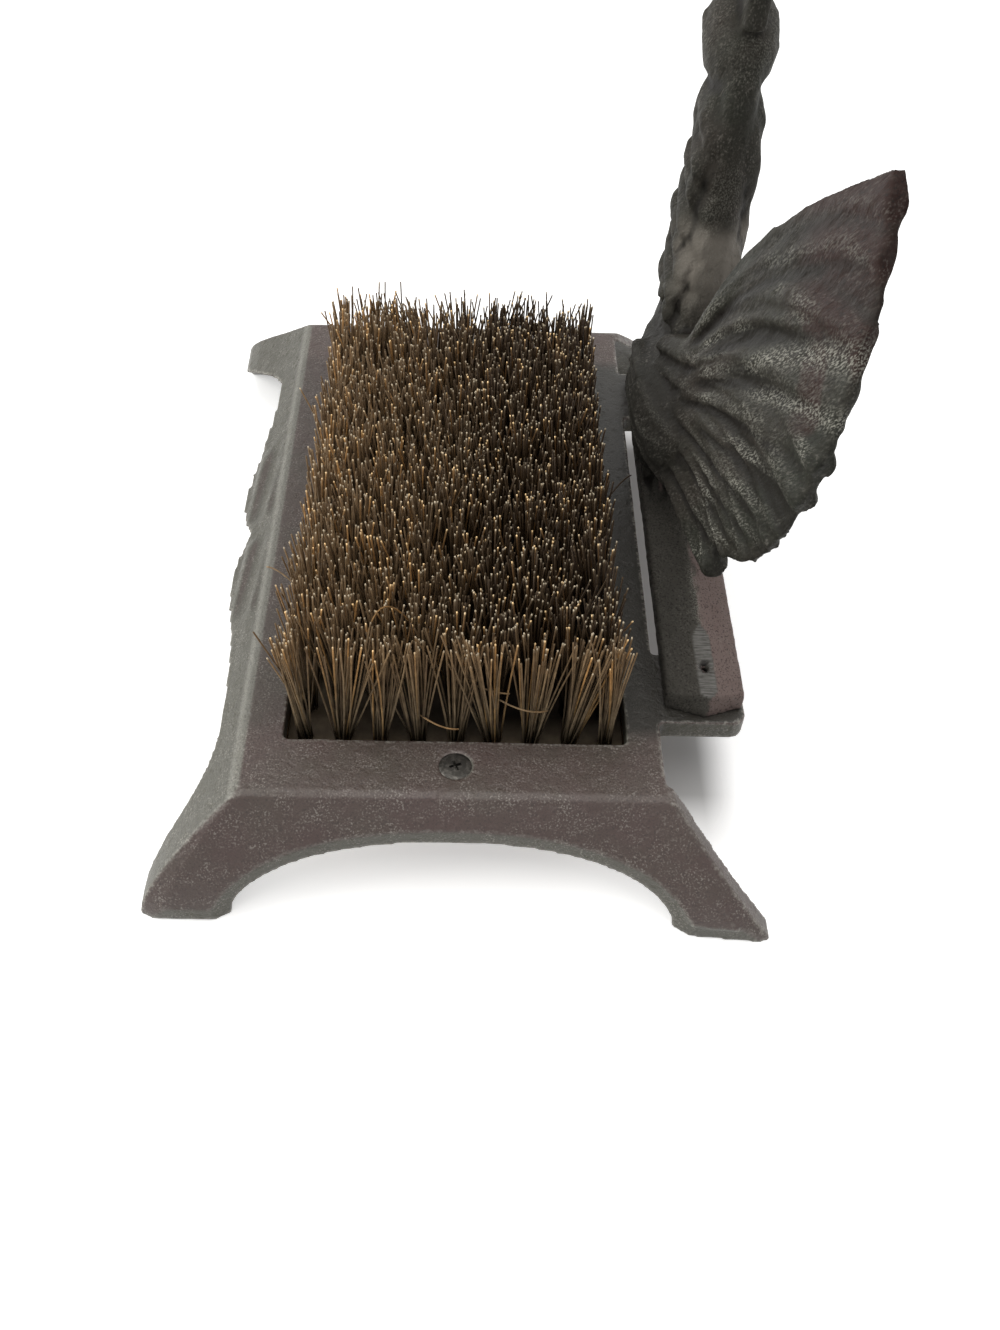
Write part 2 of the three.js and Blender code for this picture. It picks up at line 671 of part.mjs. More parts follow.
// Hackles: rows of pointed feathers that overlap down both sides of the neck.
function makeHackles() {
  const hackles = [];
  for (let row = 0; row < HACKLE_ROWS; row++) {
    const tip = HACKLE_LOW + HACKLE_PITCH * row;
    const top = Math.min(tip + HACKLE_LENGTH, NECK_TOP);
    const width = neckDepthAt(tip) / HACKLE_COLUMNS;
    for (let column = 0; column < HACKLE_COLUMNS; column++) {
      const place = (column + (row % 2) / 2) / HACKLE_COLUMNS;
      const share = lerp(HACKLE_REAR_SHARE, HACKLE_FRONT_SHARE, place);
      for (const side of SIDES) {
        const inside = neckWidthAt(top) / 2 - HACKLE_LIFT;
        const root = figureAt(side * inside, NAPE_Y + neckDepthAt(top) * share, top);
        const end = figureAt((side * neckWidthAt(tip)) / 2, NAPE_Y + neckDepthAt(tip) * share, tip);
        const middle = root.clone().lerp(end, 0.55).addScaledVector(ACROSS, (side * HACKLE_LIFT) / 2);
        const leaf = (t) => Math.sin(Math.PI * lerp(0.25, 0.97, t));
        const sizes = (t) => [width * leaf(t), HACKLE_LIFT * (1 + leaf(t))];
        hackles.push(sweep(curve(root, middle, end), 4, 6, sizes));
      }
    }
  }
  return hackles;
}

// Comb: one upright blade whose points rake back.
function makeComb(headY, headTop) {
  const front = COMB_LENGTH / 2;
  const pitch = COMB_LENGTH / COMB_POINTS;
  const shape = new THREE.Shape();
  shape.moveTo(-front, -COMB_SINK);
  shape.lineTo(front, -COMB_SINK);
  shape.lineTo(front, 0);
  for (let i = 0; i < COMB_POINTS; i++) {
    const middle = front - pitch * (i + 0.5);
    const rise = COMB_HEIGHT * Math.sin(Math.PI * lerp(0.2, 0.75, i / (COMB_POINTS - 1)));
    const valley = i + 1 < COMB_POINTS ? COMB_VALLEY * rise : 0;
    const tip = middle - COMB_RAKE * (rise / COMB_HEIGHT);
    shape.quadraticCurveTo(middle + pitch / 3, 0.8 * rise, tip, rise);
    shape.quadraticCurveTo(tip - pitch / 4, 0.7 * rise, middle - pitch / 2, valley);
  }
  return prism(shape, COMB_THICKNESS, SIDE_VIEW).translate([0, FIGURE_Y + headY, headTop]);
}

function makeWattle(top) {
  const bottom = top.clone().addScaledVector(UP, -WATTLE_LENGTH);
  return sweep(new THREE.LineCurve3(top, bottom), 5, 8, (t) => {
    const rounding = Math.sqrt(1 - (WATTLE_CLOSURE * t) ** 2);
    return [lerp(WATTLE_WIDTH, WATTLE_SWELL, t) * rounding, WATTLE_THICKNESS * rounding];
  });
}

function makeHead() {
  const headY = NAPE_Y + NECK_TOP_DEPTH / 2 + HEAD_LENGTH / 6;
  const headZ = NECK_TOP + HEAD_HEIGHT / 4;
  const beakRoot = figureAt(0, headY, headZ);
  const beakRidge = figureAt(0, headY + BEAK_LENGTH - BEAK_DEPTH / 2, headZ);
  const beakTip = figureAt(0, headY + BEAK_LENGTH, headZ - BEAK_DROP);
  const taper = (t) => [lerp(BEAK_DEPTH, BEAK_TIP, t), lerp(BEAK_WIDTH, BEAK_TIP, t)];
  const pieces = [
    oval(HEAD_WIDTH, HEAD_LENGTH, HEAD_HEIGHT, figureAt(0, headY, headZ)),
    sweep(curve(beakRoot, beakRidge, beakTip), 5, 8, taper),
    makeComb(headY, headZ + HEAD_HEIGHT / 2),
  ];
  for (const side of SIDES) {
    const chin = figureAt((side * WATTLE_THICKNESS) / 2, headY + HEAD_LENGTH / 3, headZ - HEAD_HEIGHT / 6);
    pieces.push(makeWattle(chin));
    const eye = figureAt(side * (HEAD_WIDTH / 2 - EYE_SINK), headY + HEAD_LENGTH / 5, headZ + EYE_SIZE / 2);
    pieces.push(oval(EYE_SIZE / 2, EYE_SIZE, EYE_SIZE, eye));
  }
  return pieces;
}

// Way out from a fan's root at an angle above the level, and the way square to it.
const outward = (angle) => at(0, -Math.cos(angle), Math.sin(angle));
const square = (angle) => at(0, Math.sin(angle), Math.cos(angle));

// Arched path of one feather, with its bend a share of the way along and lifted by the bow.
function featherPath(root, angle, length, bendShare, bow) {
  const tip = root.clone().addScaledVector(outward(angle), length);
  const bend = root.clone().lerp(tip, bendShare).addScaledVector(square(angle), bow);
  return new THREE.QuadraticBezierCurve3(root, bend, tip);
}

// Fan of feathers cast as one plate: each feather laps the next on both faces, and ends in a scallop.
// pathAt(share) gives the path at a share of the way up the fan, thicknessAt(t) the plate's thickness.
function makeFan(feathers, scallop, pathAt, thicknessAt) {
  const ribs = feathers * RIB_PROFILE.length;
  const rings = [];
  for (let s = 1; s <= FAN_STEPS; s++) {
    const t = s / FAN_STEPS;
    const right = [];
    const left = [];
    for (let i = 0; i <= ribs; i++) {
      const groove = RIB_PROFILE[i % RIB_PROFILE.length];
      const point = pathAt(i / ribs).getPoint(t * (1 - scallop * groove));
      const crest = thicknessAt(t) / 2;
      const half = crest - Math.min(RIB_GROOVE, RIB_SHARE * crest) * groove;
      right.push(point.clone().addScaledVector(ACROSS, half));
      left.unshift(point.clone().addScaledVector(ACROSS, -half));
    }
    rings.push([...right, ...left]);
  }
  return solidOf(loft(rings));
}

// Tail: a raised fan whose low feathers are short and sagging, and whose high ones are long and arched.
function makeTail() {
  const root = figureAt(0, TAIL_ROOT_Y, TAIL_ROOT_HEIGHT);
  const pathAt = (share) => {
    const angle = degToRad(lerp(TAIL_LOW_ANGLE, TAIL_HIGH_ANGLE, share));
    const bow = lerp(-TAIL_SAG, TAIL_BOW, share ** 2);
    const length = lerp(TAIL_SHORT, TAIL_LONG, share) + TAIL_SWELL * Math.sin(Math.PI * share ** 3);
    return featherPath(root, angle, length, lerp(0.5, 0.3, share), bow);
  };
  const thicknessAt = (t) => lerp(TAIL_ROOT_THICKNESS, TAIL_TIP_THICKNESS, Math.sqrt(t));
  return makeFan(TAIL_FEATHERS, TAIL_SCALLOP, pathAt, thicknessAt);
}

// Saddle: thick feathers that sweep back from the body over both faces of the tail's root.
function makeSaddle() {
  const pathAt = (share) => {
    const root = figureAt(0, SADDLE_ROOT_Y, lerp(SADDLE_LOW, SADDLE_HIGH, share));
    const angle = degToRad(lerp(SADDLE_LOW_ANGLE, SADDLE_HIGH_ANGLE, share));
    return featherPath(root, angle, SADDLE_LENGTH, 0.5, -SADDLE_SAG);
  };
  const thicknessAt = (t) => lerp(SADDLE_ROOT_THICKNESS, SADDLE_TIP_THICKNESS, t);
  return makeFan(SADDLE_FEATHERS, SADDLE_SCALLOP, pathAt, thicknessAt);
}

// Wings: folded flat against both flanks, the lower feathers shorter.
function makeWings() {
  const pathAt = (share) => {
    const root = figureAt(0, WING_ROOT_Y, lerp(WING_LOW, WING_HIGH, share));
    const angle = degToRad(lerp(WING_LOW_ANGLE, WING_HIGH_ANGLE, share));
    const length = WING_LENGTH - WING_SHORTENING * (1 - share);
    return featherPath(root, angle, length, 0.5, -WING_SAG);
  };
  const thicknessAt = (t) => lerp(WING_ROOT_THICKNESS, WING_TIP_THICKNESS, t ** 3);
  return makeFan(WING_FEATHERS, WING_SCALLOP, pathAt, thicknessAt);
}

function makeBreast() {
  const centre = figureAt(0, BODY_LENGTH / 2 - BREAST_LENGTH / 2, BODY_HEIGHT);
  return oval(BREAST_WIDTH, BREAST_LENGTH, BREAST_HEIGHT, centre);
}

function makeLegs() {
  const pieces = [];
  const hipZ = BODY_HEIGHT - BODY_DEPTH / 4;
  for (const side of SIDES) {
    const hip = figureAt(side * THIGH_SPREAD, 0, hipZ);
    pieces.push(oval(THIGH_WIDTH, THIGH_LENGTH, THIGH_LENGTH, hip));
    const foot = figureAt(side * FOOT_SPREAD, 0, BAR_SIDE);
    pieces.push(sweep(new THREE.LineCurve3(hip, foot), 2, 8, () => [SHANK_DIAMETER, SHANK_DIAMETER]));
    for (const splay of [-TOE_SPLAY, 0, TOE_SPLAY, 180]) {
      const ahead = at(Math.sin(degToRad(splay)), Math.cos(degToRad(splay)), 0);
      const claw = foot.clone().addScaledVector(ahead, TOE_LENGTH);
      const knuckle = foot.clone().lerp(claw, 0.5).addScaledVector(UP, TOE_DIAMETER / 3);
      const taper = (t) => [TOE_DIAMETER * lerp(1, 0.5, t), TOE_DIAMETER * lerp(0.9, 0.4, t)];
      pieces.push(sweep(curve(foot, knuckle, claw), 3, 6, taper));
    }
  }
  return pieces;
}

const figure = new THREE.Group();
figure.position.set(BAR_X, 0, TOP_HEIGHT);
scraper.add(figure);
const cockerel = join([
  makeBar(),
  makeBody(),
  makeBreast(),
  makeNeck(),
  ...makeHackles(),
  ...makeHead(),
  makeTail(),
  makeSaddle(),
  makeWings(),
  ...makeLegs(),
]);
addPiece(figure, "cockerel_on_bar", cockerel, 0x2b2422, 0.5, 0.6);

// The origin lies on the floor under the middle of the whole object.
const extent = new THREE.Box3().setFromObject(scraper);
const middle = extent.getCenter(at(0, 0, 0));
scraper.position.set(-middle.x, -middle.y, -extent.min.z);
const part = new THREE.Group();
part.add(scraper);

export default part;
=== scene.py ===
import math
import random

import bmesh
import bpy
import numpy as np
from mathutils import Matrix, Vector, noise


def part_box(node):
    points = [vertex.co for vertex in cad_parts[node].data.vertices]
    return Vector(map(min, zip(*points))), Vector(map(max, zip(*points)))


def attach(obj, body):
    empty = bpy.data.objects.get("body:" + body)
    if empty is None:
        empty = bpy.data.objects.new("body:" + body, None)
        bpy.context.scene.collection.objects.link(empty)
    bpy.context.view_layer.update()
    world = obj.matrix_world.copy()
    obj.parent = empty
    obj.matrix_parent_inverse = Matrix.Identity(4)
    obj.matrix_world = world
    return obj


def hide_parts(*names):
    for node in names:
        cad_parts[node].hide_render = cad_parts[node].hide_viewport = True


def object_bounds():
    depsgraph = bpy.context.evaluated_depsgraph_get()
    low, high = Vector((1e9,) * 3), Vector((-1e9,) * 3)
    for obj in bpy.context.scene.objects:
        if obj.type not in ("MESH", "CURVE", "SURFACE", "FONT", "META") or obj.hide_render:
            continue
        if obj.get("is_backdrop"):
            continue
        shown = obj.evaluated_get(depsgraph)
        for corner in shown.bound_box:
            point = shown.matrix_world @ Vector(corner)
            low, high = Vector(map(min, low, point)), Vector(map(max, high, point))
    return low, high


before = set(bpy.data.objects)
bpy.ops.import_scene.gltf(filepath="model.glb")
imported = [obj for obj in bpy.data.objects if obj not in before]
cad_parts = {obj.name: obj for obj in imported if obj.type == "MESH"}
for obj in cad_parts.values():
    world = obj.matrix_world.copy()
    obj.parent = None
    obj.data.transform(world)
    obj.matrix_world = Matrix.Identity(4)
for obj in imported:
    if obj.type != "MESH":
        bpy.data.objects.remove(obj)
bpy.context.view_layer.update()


# Camera and studio. The camera stands in front of the scraper and looks down on it, rolled by a
# few degrees. The scraper stands on a white table under a soft sky, with a window to its left.
CAMERA_PLACE = Vector((-0.00129, -0.3219, 0.3212))
CAMERA_PITCH = 0.8363
CAMERA_YAW = 0.0498
CAMERA_ROLL = 0.0574
CAMERA_NEAR = 0.01
SENSOR_SPAN = 36
FOCAL_SHARE = 1280 / 1330
TABLE_SIZE = 6.0
TABLE_WHITE = (0.93, 0.93, 0.925, 1)
TABLE_SHADE = (0.2, 0.2, 0.2, 1)
TABLE_LIFT = 0.44
# A shadow painted on the table under the bar: its middle, its soft side and end edges, and how far
# it darkens.
SHADE_X = 0.068
SHADE_SIDE = (0.020, 0.008)
SHADE_END = (0.110, 0.085)
SHADE_SHARE = 0.6
SKY_TINT = (0.97, 0.985, 1.0, 1)
SKY_STRENGTH = 0.36
PURE_WHITE = (1, 1, 1, 1)
LAMP_AIM = Vector((0, 0, 0.05))
# A lamp's name, place, size, watts and colour.
LAMPS = (
    ("window_left", (-1.2, 0.02, 0.56), 1.0, 14.5, (1.0, 1.0, 0.97)),
    ("sky_above", (0.0, -0.25, 1.35), 1.1, 10.0, (1.0, 0.98, 0.96)),
    ("wall_right", (1.2, 0.35, 0.75), 0.9, 5.0, (1.0, 0.97, 0.95)),
)

scene = bpy.context.scene
scene.view_settings.view_transform = "Standard"

ahead = Vector((
    math.sin(CAMERA_YAW) * math.cos(CAMERA_PITCH),
    math.cos(CAMERA_YAW) * math.cos(CAMERA_PITCH),
    -math.sin(CAMERA_PITCH),
))
level = Vector((math.cos(CAMERA_YAW), -math.sin(CAMERA_YAW), 0))
upward = level.cross(ahead)
right = math.cos(CAMERA_ROLL) * level + math.sin(CAMERA_ROLL) * upward
upward = -math.sin(CAMERA_ROLL) * level + math.cos(CAMERA_ROLL) * upward
camera_turn = Matrix((right, upward, -ahead)).transposed().to_4x4()
camera = bpy.data.objects.new("photo_camera", bpy.data.cameras.new("photo_camera"))
camera.data.sensor_width = SENSOR_SPAN
camera.data.lens = SENSOR_SPAN * FOCAL_SHARE
camera.data.clip_start = CAMERA_NEAR
camera.matrix_world = Matrix.Translation(CAMERA_PLACE) @ camera_turn
scene.collection.objects.link(camera)
scene.camera = camera


def make_object(name, bm):
    """An object from a finished bmesh."""
    mesh = bpy.data.meshes.new(name)
    bm.to_mesh(mesh)
    bm.free()
    made = bpy.data.objects.new(name, mesh)
    scene.collection.objects.link(made)
    return made


def new_material(name):
    """An empty node material and its node tree."""
    material = bpy.data.materials.new(name)
    material.use_nodes = True
    material.node_tree.nodes.clear()
    return material, material.node_tree


def dress(piece, material):
    """Gives a piece its one material."""
    piece.data.materials.clear()
    piece.data.materials.append(material)


def feed(tree, socket, value):
    """Links an input to another node's socket, or sets it to a plain value."""
    if isinstance(value, bpy.types.NodeSocket):
        tree.links.new(value, socket)
    else:
        socket.default_value = value


def put(tree, kind, label, **inputs):
    """A named node with its inputs fed by name, or by number as i0, i1 and so on."""
    node = tree.nodes.new(kind)
    node.name = node.label = label
    for key, value in inputs.items():
        socket = int(key[1:]) if key[1:].isdigit() else key.replace("_", " ")
        feed(tree, node.inputs[socket], value)
    return node


def object_place(tree):
    """Where a point of the surface is on the object."""
    return put(tree, "ShaderNodeTexCoord", "place").outputs["Object"]


def math_node(tree, operation, label, a, b=0.0, c=0.0):
    node = put(tree, "ShaderNodeMath", label, i0=a, i1=b, i2=c)
    node.operation = operation
    return node.outputs[0]


def times(tree, label, a, b):
    return math_node(tree, "MULTIPLY", label, a, b)


def larger(tree, label, a, b):
    return math_node(tree, "MAXIMUM", label, a, b)


def span(tree, label, value, low, high, out_low=0.0, out_high=1.0):
    """A value carried from one range to another and held at its ends."""
    node = put(
        tree, "ShaderNodeMapRange", label,
        Value=value, From_Min=low, From_Max=high, To_Min=out_low, To_Max=out_high,
    )
    return node.outputs[0]


def blend_colour(tree, label, share, a, b, way="MIX"):
    """Colour b over colour a, as far as the share goes."""
    node = put(tree, "ShaderNodeMix", label)
    node.data_type = "RGBA"
    node.blend_type = way
    for socket, value in ((0, share), (6, a), (7, b)):
        feed(tree, node.inputs[socket], value)
    return node.outputs[2]


def seen_directly(tree):
    """1 for rays from the camera, a mirror or a glass, 0 for the rays that carry light."""
    path = put(tree, "ShaderNodeLightPath", "ray kind").outputs
    seen = larger(tree, "seen or mirrored", path["Is Camera Ray"], path["Is Glossy Ray"])
    return larger(tree, "or through glass", seen, path["Is Transmission Ray"])


bm = bmesh.new()
bmesh.ops.create_grid(bm, x_segments=1, y_segments=1, size=TABLE_SIZE / 2)
table = make_object("white_table", bm)
table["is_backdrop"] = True

material, tree = new_material("white_table")
axes = put(tree, "ShaderNodeSeparateXYZ", "across and along", Vector=object_place(tree)).outputs
# Painted shadow under the bar: the table's white is darkened there and its white lift taken away.
beside_bar = math_node(tree, "SUBTRACT", "beside the bar", axes["X"], SHADE_X)
off_bar = math_node(tree, "ABSOLUTE", "off the bar", beside_bar)
off_middle = math_node(tree, "ABSOLUTE", "off the middle", axes["Y"])
side_edge = span(tree, "side edge", off_bar, *SHADE_SIDE)
end_edge = span(tree, "end edge", off_middle, *SHADE_END)
under_bar = times(tree, "under the bar", side_edge, end_edge)
soft_shade = times(tree, "soft shade", under_bar, SHADE_SHARE)
shaded_white = blend_colour(tree, "shaded white", soft_shade, TABLE_WHITE, TABLE_SHADE)
matt = put(tree, "ShaderNodeBsdfDiffuse", "matt white", Color=shaded_white)
unshaded = math_node(tree, "SUBTRACT", "unshaded", 1.0, under_bar)
seen_white = times(tree, "seen white", seen_directly(tree), unshaded)
lift_strength = times(tree, "lift strength", seen_white, TABLE_LIFT)
lift = put(tree, "ShaderNodeEmission", "white lift", Strength=lift_strength)
whole = put(tree, "ShaderNodeAddShader", "table", i0=matt.outputs[0], i1=lift.outputs[0])
put(tree, "ShaderNodeOutputMaterial", "output", Surface=whole.outputs[0])
dress(table, material)

scene.world = bpy.data.worlds.new("soft_sky")
scene.world.use_nodes = True
tree = scene.world.node_tree
tree.nodes.clear()
sky = put(tree, "ShaderNodeBackground", "soft sky", Color=SKY_TINT, Strength=SKY_STRENGTH)
white = put(tree, "ShaderNodeBackground", "white beyond", Color=PURE_WHITE, Strength=1.0)
choice = put(
    tree, "ShaderNodeMixShader", "sky or white",
    i0=seen_directly(tree), i1=sky.outputs[0], i2=white.outputs[0],
)
put(tree, "ShaderNodeOutputWorld", "output", Surface=choice.outputs[0])

for name, place, size, watts, colour in LAMPS:
    lamp = bpy.data.lights.new(name, "AREA")
    lamp.size = size
    lamp.energy = watts
    lamp.color = colour
    lamp_object = bpy.data.objects.new(name, lamp)
    lamp_object.location = place
    aim = LAMP_AIM - Vector(place)
    lamp_object.rotation_euler = aim.to_track_quat("-Z", "Y").to_euler()
    scene.collection.objects.link(lamp_object)


# Stand: one sand-cast iron frame with flared feet, a window for the brush and two ledges for the
# bar. The mould leaves soft arrises and a grainy skin, and the plain side carries carved leaves.
# It has a thin red-brown finish, rubbed bright along its edges.
STAND_VOXEL = 0.00063
STAND_SOFTENING = 4
SAME_POINT = 1e-7
SKIN_SWELL = 0.00012
SKIN_GRAIN = 0.00005
WAVE_SCALE = 90
RIPPLE_SCALE = 210
RIPPLE_SHARE = 0.5
GRAIN_SCALE = 620
RELIEF_ROUNDS = 6
RELIEF_REACH = 0.00022
RELIEF_EASING = 3
APRON_OFFSET = 0.059
LEAF_START = 0.002
LEAF_LENGTH = 0.044
LEAF_FACE = -0.15
APRON_TOP = 0.0345
APRON_FOOT = 0.0243
LEAF_RELIEF = 0.0008
LEAF_FOLDS = 1.6
LEAF_SLANT = 0.4
LEAF_SHIFT = 0.12
LEAF_HOLLOW = 0.55
LEAF_ENDS = ((0.0, 0.16), (0.78, 1.0))
LEAF_BAND = ((0.06, 0.3), (0.6, 0.95))
LEAF_EDGE = 0.003
LEAF_ROUNDS = 14
# Where a layer starts and how far on it is full, in parts of a normal or in metres.
LEFT_FACES = (0.2, 0.3)
UPRIGHT_FACES = (0.45, 0.35)
STRIP_LEFT = (0.2, 0.2)
STRIP_UP = (0.4, 0.2)
STRIP_HEIGHT = (0.0335, 0.0008)
LEVEL_FACES = (0.8, 0.1)
# Where the painted shade on the top beside the brush lies.
PLATE_SHADE_RIGHT = (0.047, 0.001)
PLATE_SHADE_LEFT = (0.048, 0.001)
PLATE_SHADE_LEFT_SHARE = 0.3
PLATE_SHADE_ENDS = (0.094, 0.006)
END_FACES = (0.35, 0.25)
END_FACES_UP = (0.0, 0.2)
IRON_RED = (0.074, 0.051, 0.045, 1)
IRON_GREY = (0.057, 0.05376, 0.03864, 1)
IRON_RUBBED = (0.30, 0.285, 0.25, 1)
IRON_SPECK = (0.24, 0.22, 0.195, 1)
IRON_SOOT = (0.024, 0.019, 0.017, 1)
IRON_CREASE_DARK = (0.016, 0.014, 0.012, 1)
# The end faces' colour: painted shade with a redder tone.
IRON_END_SHADED = (0.0577, 0.0347, 0.031, 1)
# A painted highlight for the strip along the top's left edge.
IRON_STRIP_LIT = (0.135, 0.130, 0.108, 1)
# Painted shade on the top beside the brush.
IRON_PAINTED_SHADE = (0.022, 0.023, 0.018, 1)


def mesh_arrays(mesh):
    """Points, normals and edges of a mesh as arrays."""
    points = np.empty(len(mesh.vertices) * 3)
    mesh.vertices.foreach_get("co", points)
    normals = np.empty(len(mesh.vertices) * 3)
    mesh.vertices.foreach_get("normal", normals)
    edges = np.empty(len(mesh.edges) * 2, dtype=int)
    mesh.edges.foreach_get("vertices", edges)
    return points.reshape(-1, 3), normals.reshape(-1, 3), edges.reshape(-1, 2)


def mean_of_neighbours(values, edges):
    """Mean over each point's neighbours of one value a point."""
    count = np.bincount(edges.ravel(), minlength=len(values))
    total = np.bincount(edges[:, 0], values[edges[:, 1]], len(values))
    total += np.bincount(edges[:, 1], values[edges[:, 0]], len(values))
    return total / np.maximum(count, 1)


def bake_modifiers(piece):
    """Puts what the modifiers make into the piece's own mesh."""
    plan = bpy.context.evaluated_depsgraph_get()
    made = bpy.data.meshes.new_from_object(piece.evaluated_get(plan))
    old = piece.data
    piece.modifiers.clear()
    piece.data = made
    bpy.data.meshes.remove(old)
    made.name = piece.name


def soften(piece, name, rounds, group=""):
    """Adds a smoothing that draws each point halfway to its neighbours in each round."""
    smoothing = piece.modifiers.new(name, "SMOOTH")
    smoothing.factor = 0.5
    smoothing.iterations = rounds
    smoothing.vertex_group = group


def recast(name, node, voxel, softening, soft_share, soft_rounds):
    """A copy of a CAD casting with an even skin and soft arrises, as a sand mould leaves them."""
    bm = bmesh.new()
    bm.from_mesh(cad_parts[node].data)
    bmesh.ops.remove_doubles(bm, verts=bm.verts, dist=SAME_POINT)
    piece = make_object(name, bm)
    skin = piece.modifiers.new("even skin", "REMESH")
    skin.mode = "VOXEL"
    skin.voxel_size = voxel
    bake_modifiers(piece)
    group = piece.vertex_groups.new(name="soft")
    for index, vert in enumerate(piece.data.vertices):
        share = soft_share(vert.co)
        if share > 0:
            group.add([index], share, "REPLACE")
    soften(piece, "soft form", soft_rounds, group.name)
    soften(piece, "soft arrises", softening)
    bake_modifiers(piece)
    piece.vertex_groups.clear()
    return piece


def keep_layer(piece, name, values):
    """Keeps one value a point with the mesh, for the material to read."""
    kept = np.asarray(values, dtype=np.float32)
    layer = piece.data.attributes.new(name, "FLOAT", "POINT")
    layer.data.foreach_set("value", kept)
    return kept


def note_relief(piece, rounds, reach):
    """Keeps how far a point stands out of the form around it: 1 on arrises, -1 in creases."""
    points, normals, edges = mesh_arrays(piece.data)
    eased = points.copy()
    for _ in range(rounds):
        eased = np.stack([mean_of_neighbours(eased[:, axis], edges) for axis in range(3)], 1)
    proud = np.einsum("ij,ij->i", points - eased, normals)
    for _ in range(RELIEF_EASING):
        proud = (proud + mean_of_neighbours(proud, edges)) / 2
    return keep_layer(piece, "relief", np.clip(proud / reach, -1, 1))


def push_skin(piece, push):
    """Moves each point along its normal by what push(point, normal) gives, but not below 0."""
    mesh = piece.data
    points, normals, _ = mesh_arrays(mesh)
    moved = np.empty(len(points))
    for index, (point, normal) in enumerate(zip(points, normals)):
        moved[index] = push(Vector(point), Vector(normal))
    points = points + normals * moved[:, None]
    points[:, 2] = np.maximum(points[:, 2], 0)
    mesh.vertices.foreach_set("co", points.ravel())
    mesh.update()


def smooth_step(low, high, value):
    """0 below low, 1 above high, and a soft passage between them."""
    share = min(max((value - low) / (high - low), 0), 1)
    return share * share * (3 - 2 * share)


def plateau(rising, falling, value):
    """A soft rise over one range and a soft fall over a later one."""
    return smooth_step(*rising, value) * (1 - smooth_step(*falling, value))


def above(values, start, reach):
    """0 below the start, growing to 1 over the reach above it."""
    return np.clip((values - start) / reach, 0, 1)


def below(values, start, reach):
    """0 above the start, growing to 1 over the reach below it."""
    return np.clip((start - values) / reach, 0, 1)


def cast_skin(point, swell, grain):
    """Slow waviness and fine grain of a sand-cast face."""
    wave = noise.noise(point * WAVE_SCALE) + RIPPLE_SHARE * noise.noise(point * RIPPLE_SCALE)
    return swell * wave + grain * noise.noise(point * GRAIN_SCALE)


board_low, board_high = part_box("brush_board")
stand_x = (board_low.x + board_high.x) / 2
apron_x = stand_x - APRON_OFFSET


def leaf_relief(point, normal):
    """Two leaves on the plain side's apron: folds that sweep from the top's edge down and on."""
    if normal.x > LEAF_FACE or point.x > apron_x:
        return 0
    along = (abs(point.y) - LEAF_START) / LEAF_LENGTH
    if not 0 < along < 1:
        return 0
    forward = 1 - along if point.y > 0 else along
    down = (APRON_TOP - point.z) / (APRON_TOP - APRON_FOOT)
    fold = math.cos(math.tau * LEAF_FOLDS * (down - LEAF_SLANT * forward + LEAF_SHIFT))
    fold = fold if fold > 0 else LEAF_HOLLOW * fold
    return LEAF_RELIEF * fold * plateau(*LEAF_ENDS, along) * plateau(*LEAF_BAND, down)


def is_leaf_edge(point):
    """1 on the lower edge of the leaves, which the mould left smooth."""
    on_leaves = point.x < apron_x and abs(point.y) < LEAF_START + LEAF_LENGTH
    return 1.0 if on_leaves and point.z < APRON_TOP - LEAF_EDGE else 0.0


stand = recast(
    "stand_casting", "stand", STAND_VOXEL, STAND_SOFTENING, is_leaf_edge, LEAF_ROUNDS
)
push_skin(stand, leaf_relief)
note_relief(stand, RELIEF_ROUNDS, RELIEF_REACH)
points, normals, _ = mesh_arrays(stand.data)
point_x, point_y, point_z = points.T
facing_x, facing_y, facing_z = normals.T
grey = np.maximum(above(-facing_x, *LEFT_FACES), below(facing_z, *UPRIGHT_FACES))
keep_layer(stand, "grey", grey)
# Painted highlight: the strip along the top's left edge, facing left and up, is coloured lighter.
strip = above(-facing_x, *STRIP_LEFT) * above(facing_z, *STRIP_UP)
keep_layer(stand, "strip", strip * above(point_z, *STRIP_HEIGHT))
# Painted shade on the top beside the brush: full on the right, by the bar, and a little on the
# left.
plate_shade = above(point_x - stand_x, *PLATE_SHADE_RIGHT)
plate_shade += PLATE_SHADE_LEFT_SHARE * above(stand_x - point_x, *PLATE_SHADE_LEFT)
on_top = above(facing_z, *LEVEL_FACES) * below(np.abs(point_y), *PLATE_SHADE_ENDS)
keep_layer(stand, "plate_shade", plate_shade * on_top)
# Faces turned to the front or rear are painted darker and redder: painted shade with a redder tone.
end_face = above(np.abs(facing_y), *END_FACES) * above(facing_z, *END_FACES_UP)
keep_layer(stand, "end_face", end_face)
push_skin(stand, lambda point, normal: cast_skin(point, SKIN_SWELL, SKIN_GRAIN))
stand.data.shade_smooth()
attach(stand, "root")
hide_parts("stand")


def speckle(tree, label, place, scale, detail, **more):
    """Noise over the surface, finer with a larger scale."""
    node = put(
        tree, "ShaderNodeTexNoise", label, Vector=place, Scale=scale, Detail=detail, **more
    )
    return node.outputs[0]


def layer_value(tree, name):
    """The value that a mesh keeps for each of its points."""
    node = put(tree, "ShaderNodeAttribute", name)
    node.attribute_name = name
    return node.outputs["Fac"]


def new_group(name, values_in, values_out):
    """A node group with a place and some values as inputs, and what it is given."""
    group = bpy.data.node_groups.new(name, "ShaderNodeTree")
    group.interface.new_socket("Place", in_out="INPUT", socket_type="NodeSocketVector")
    for way, labels in (("INPUT", values_in), ("OUTPUT", values_out)):
        for label in labels:
            group.interface.new_socket(label, in_out=way, socket_type="NodeSocketFloat")
    return group, put(group, "NodeGroupInput", "given").outputs


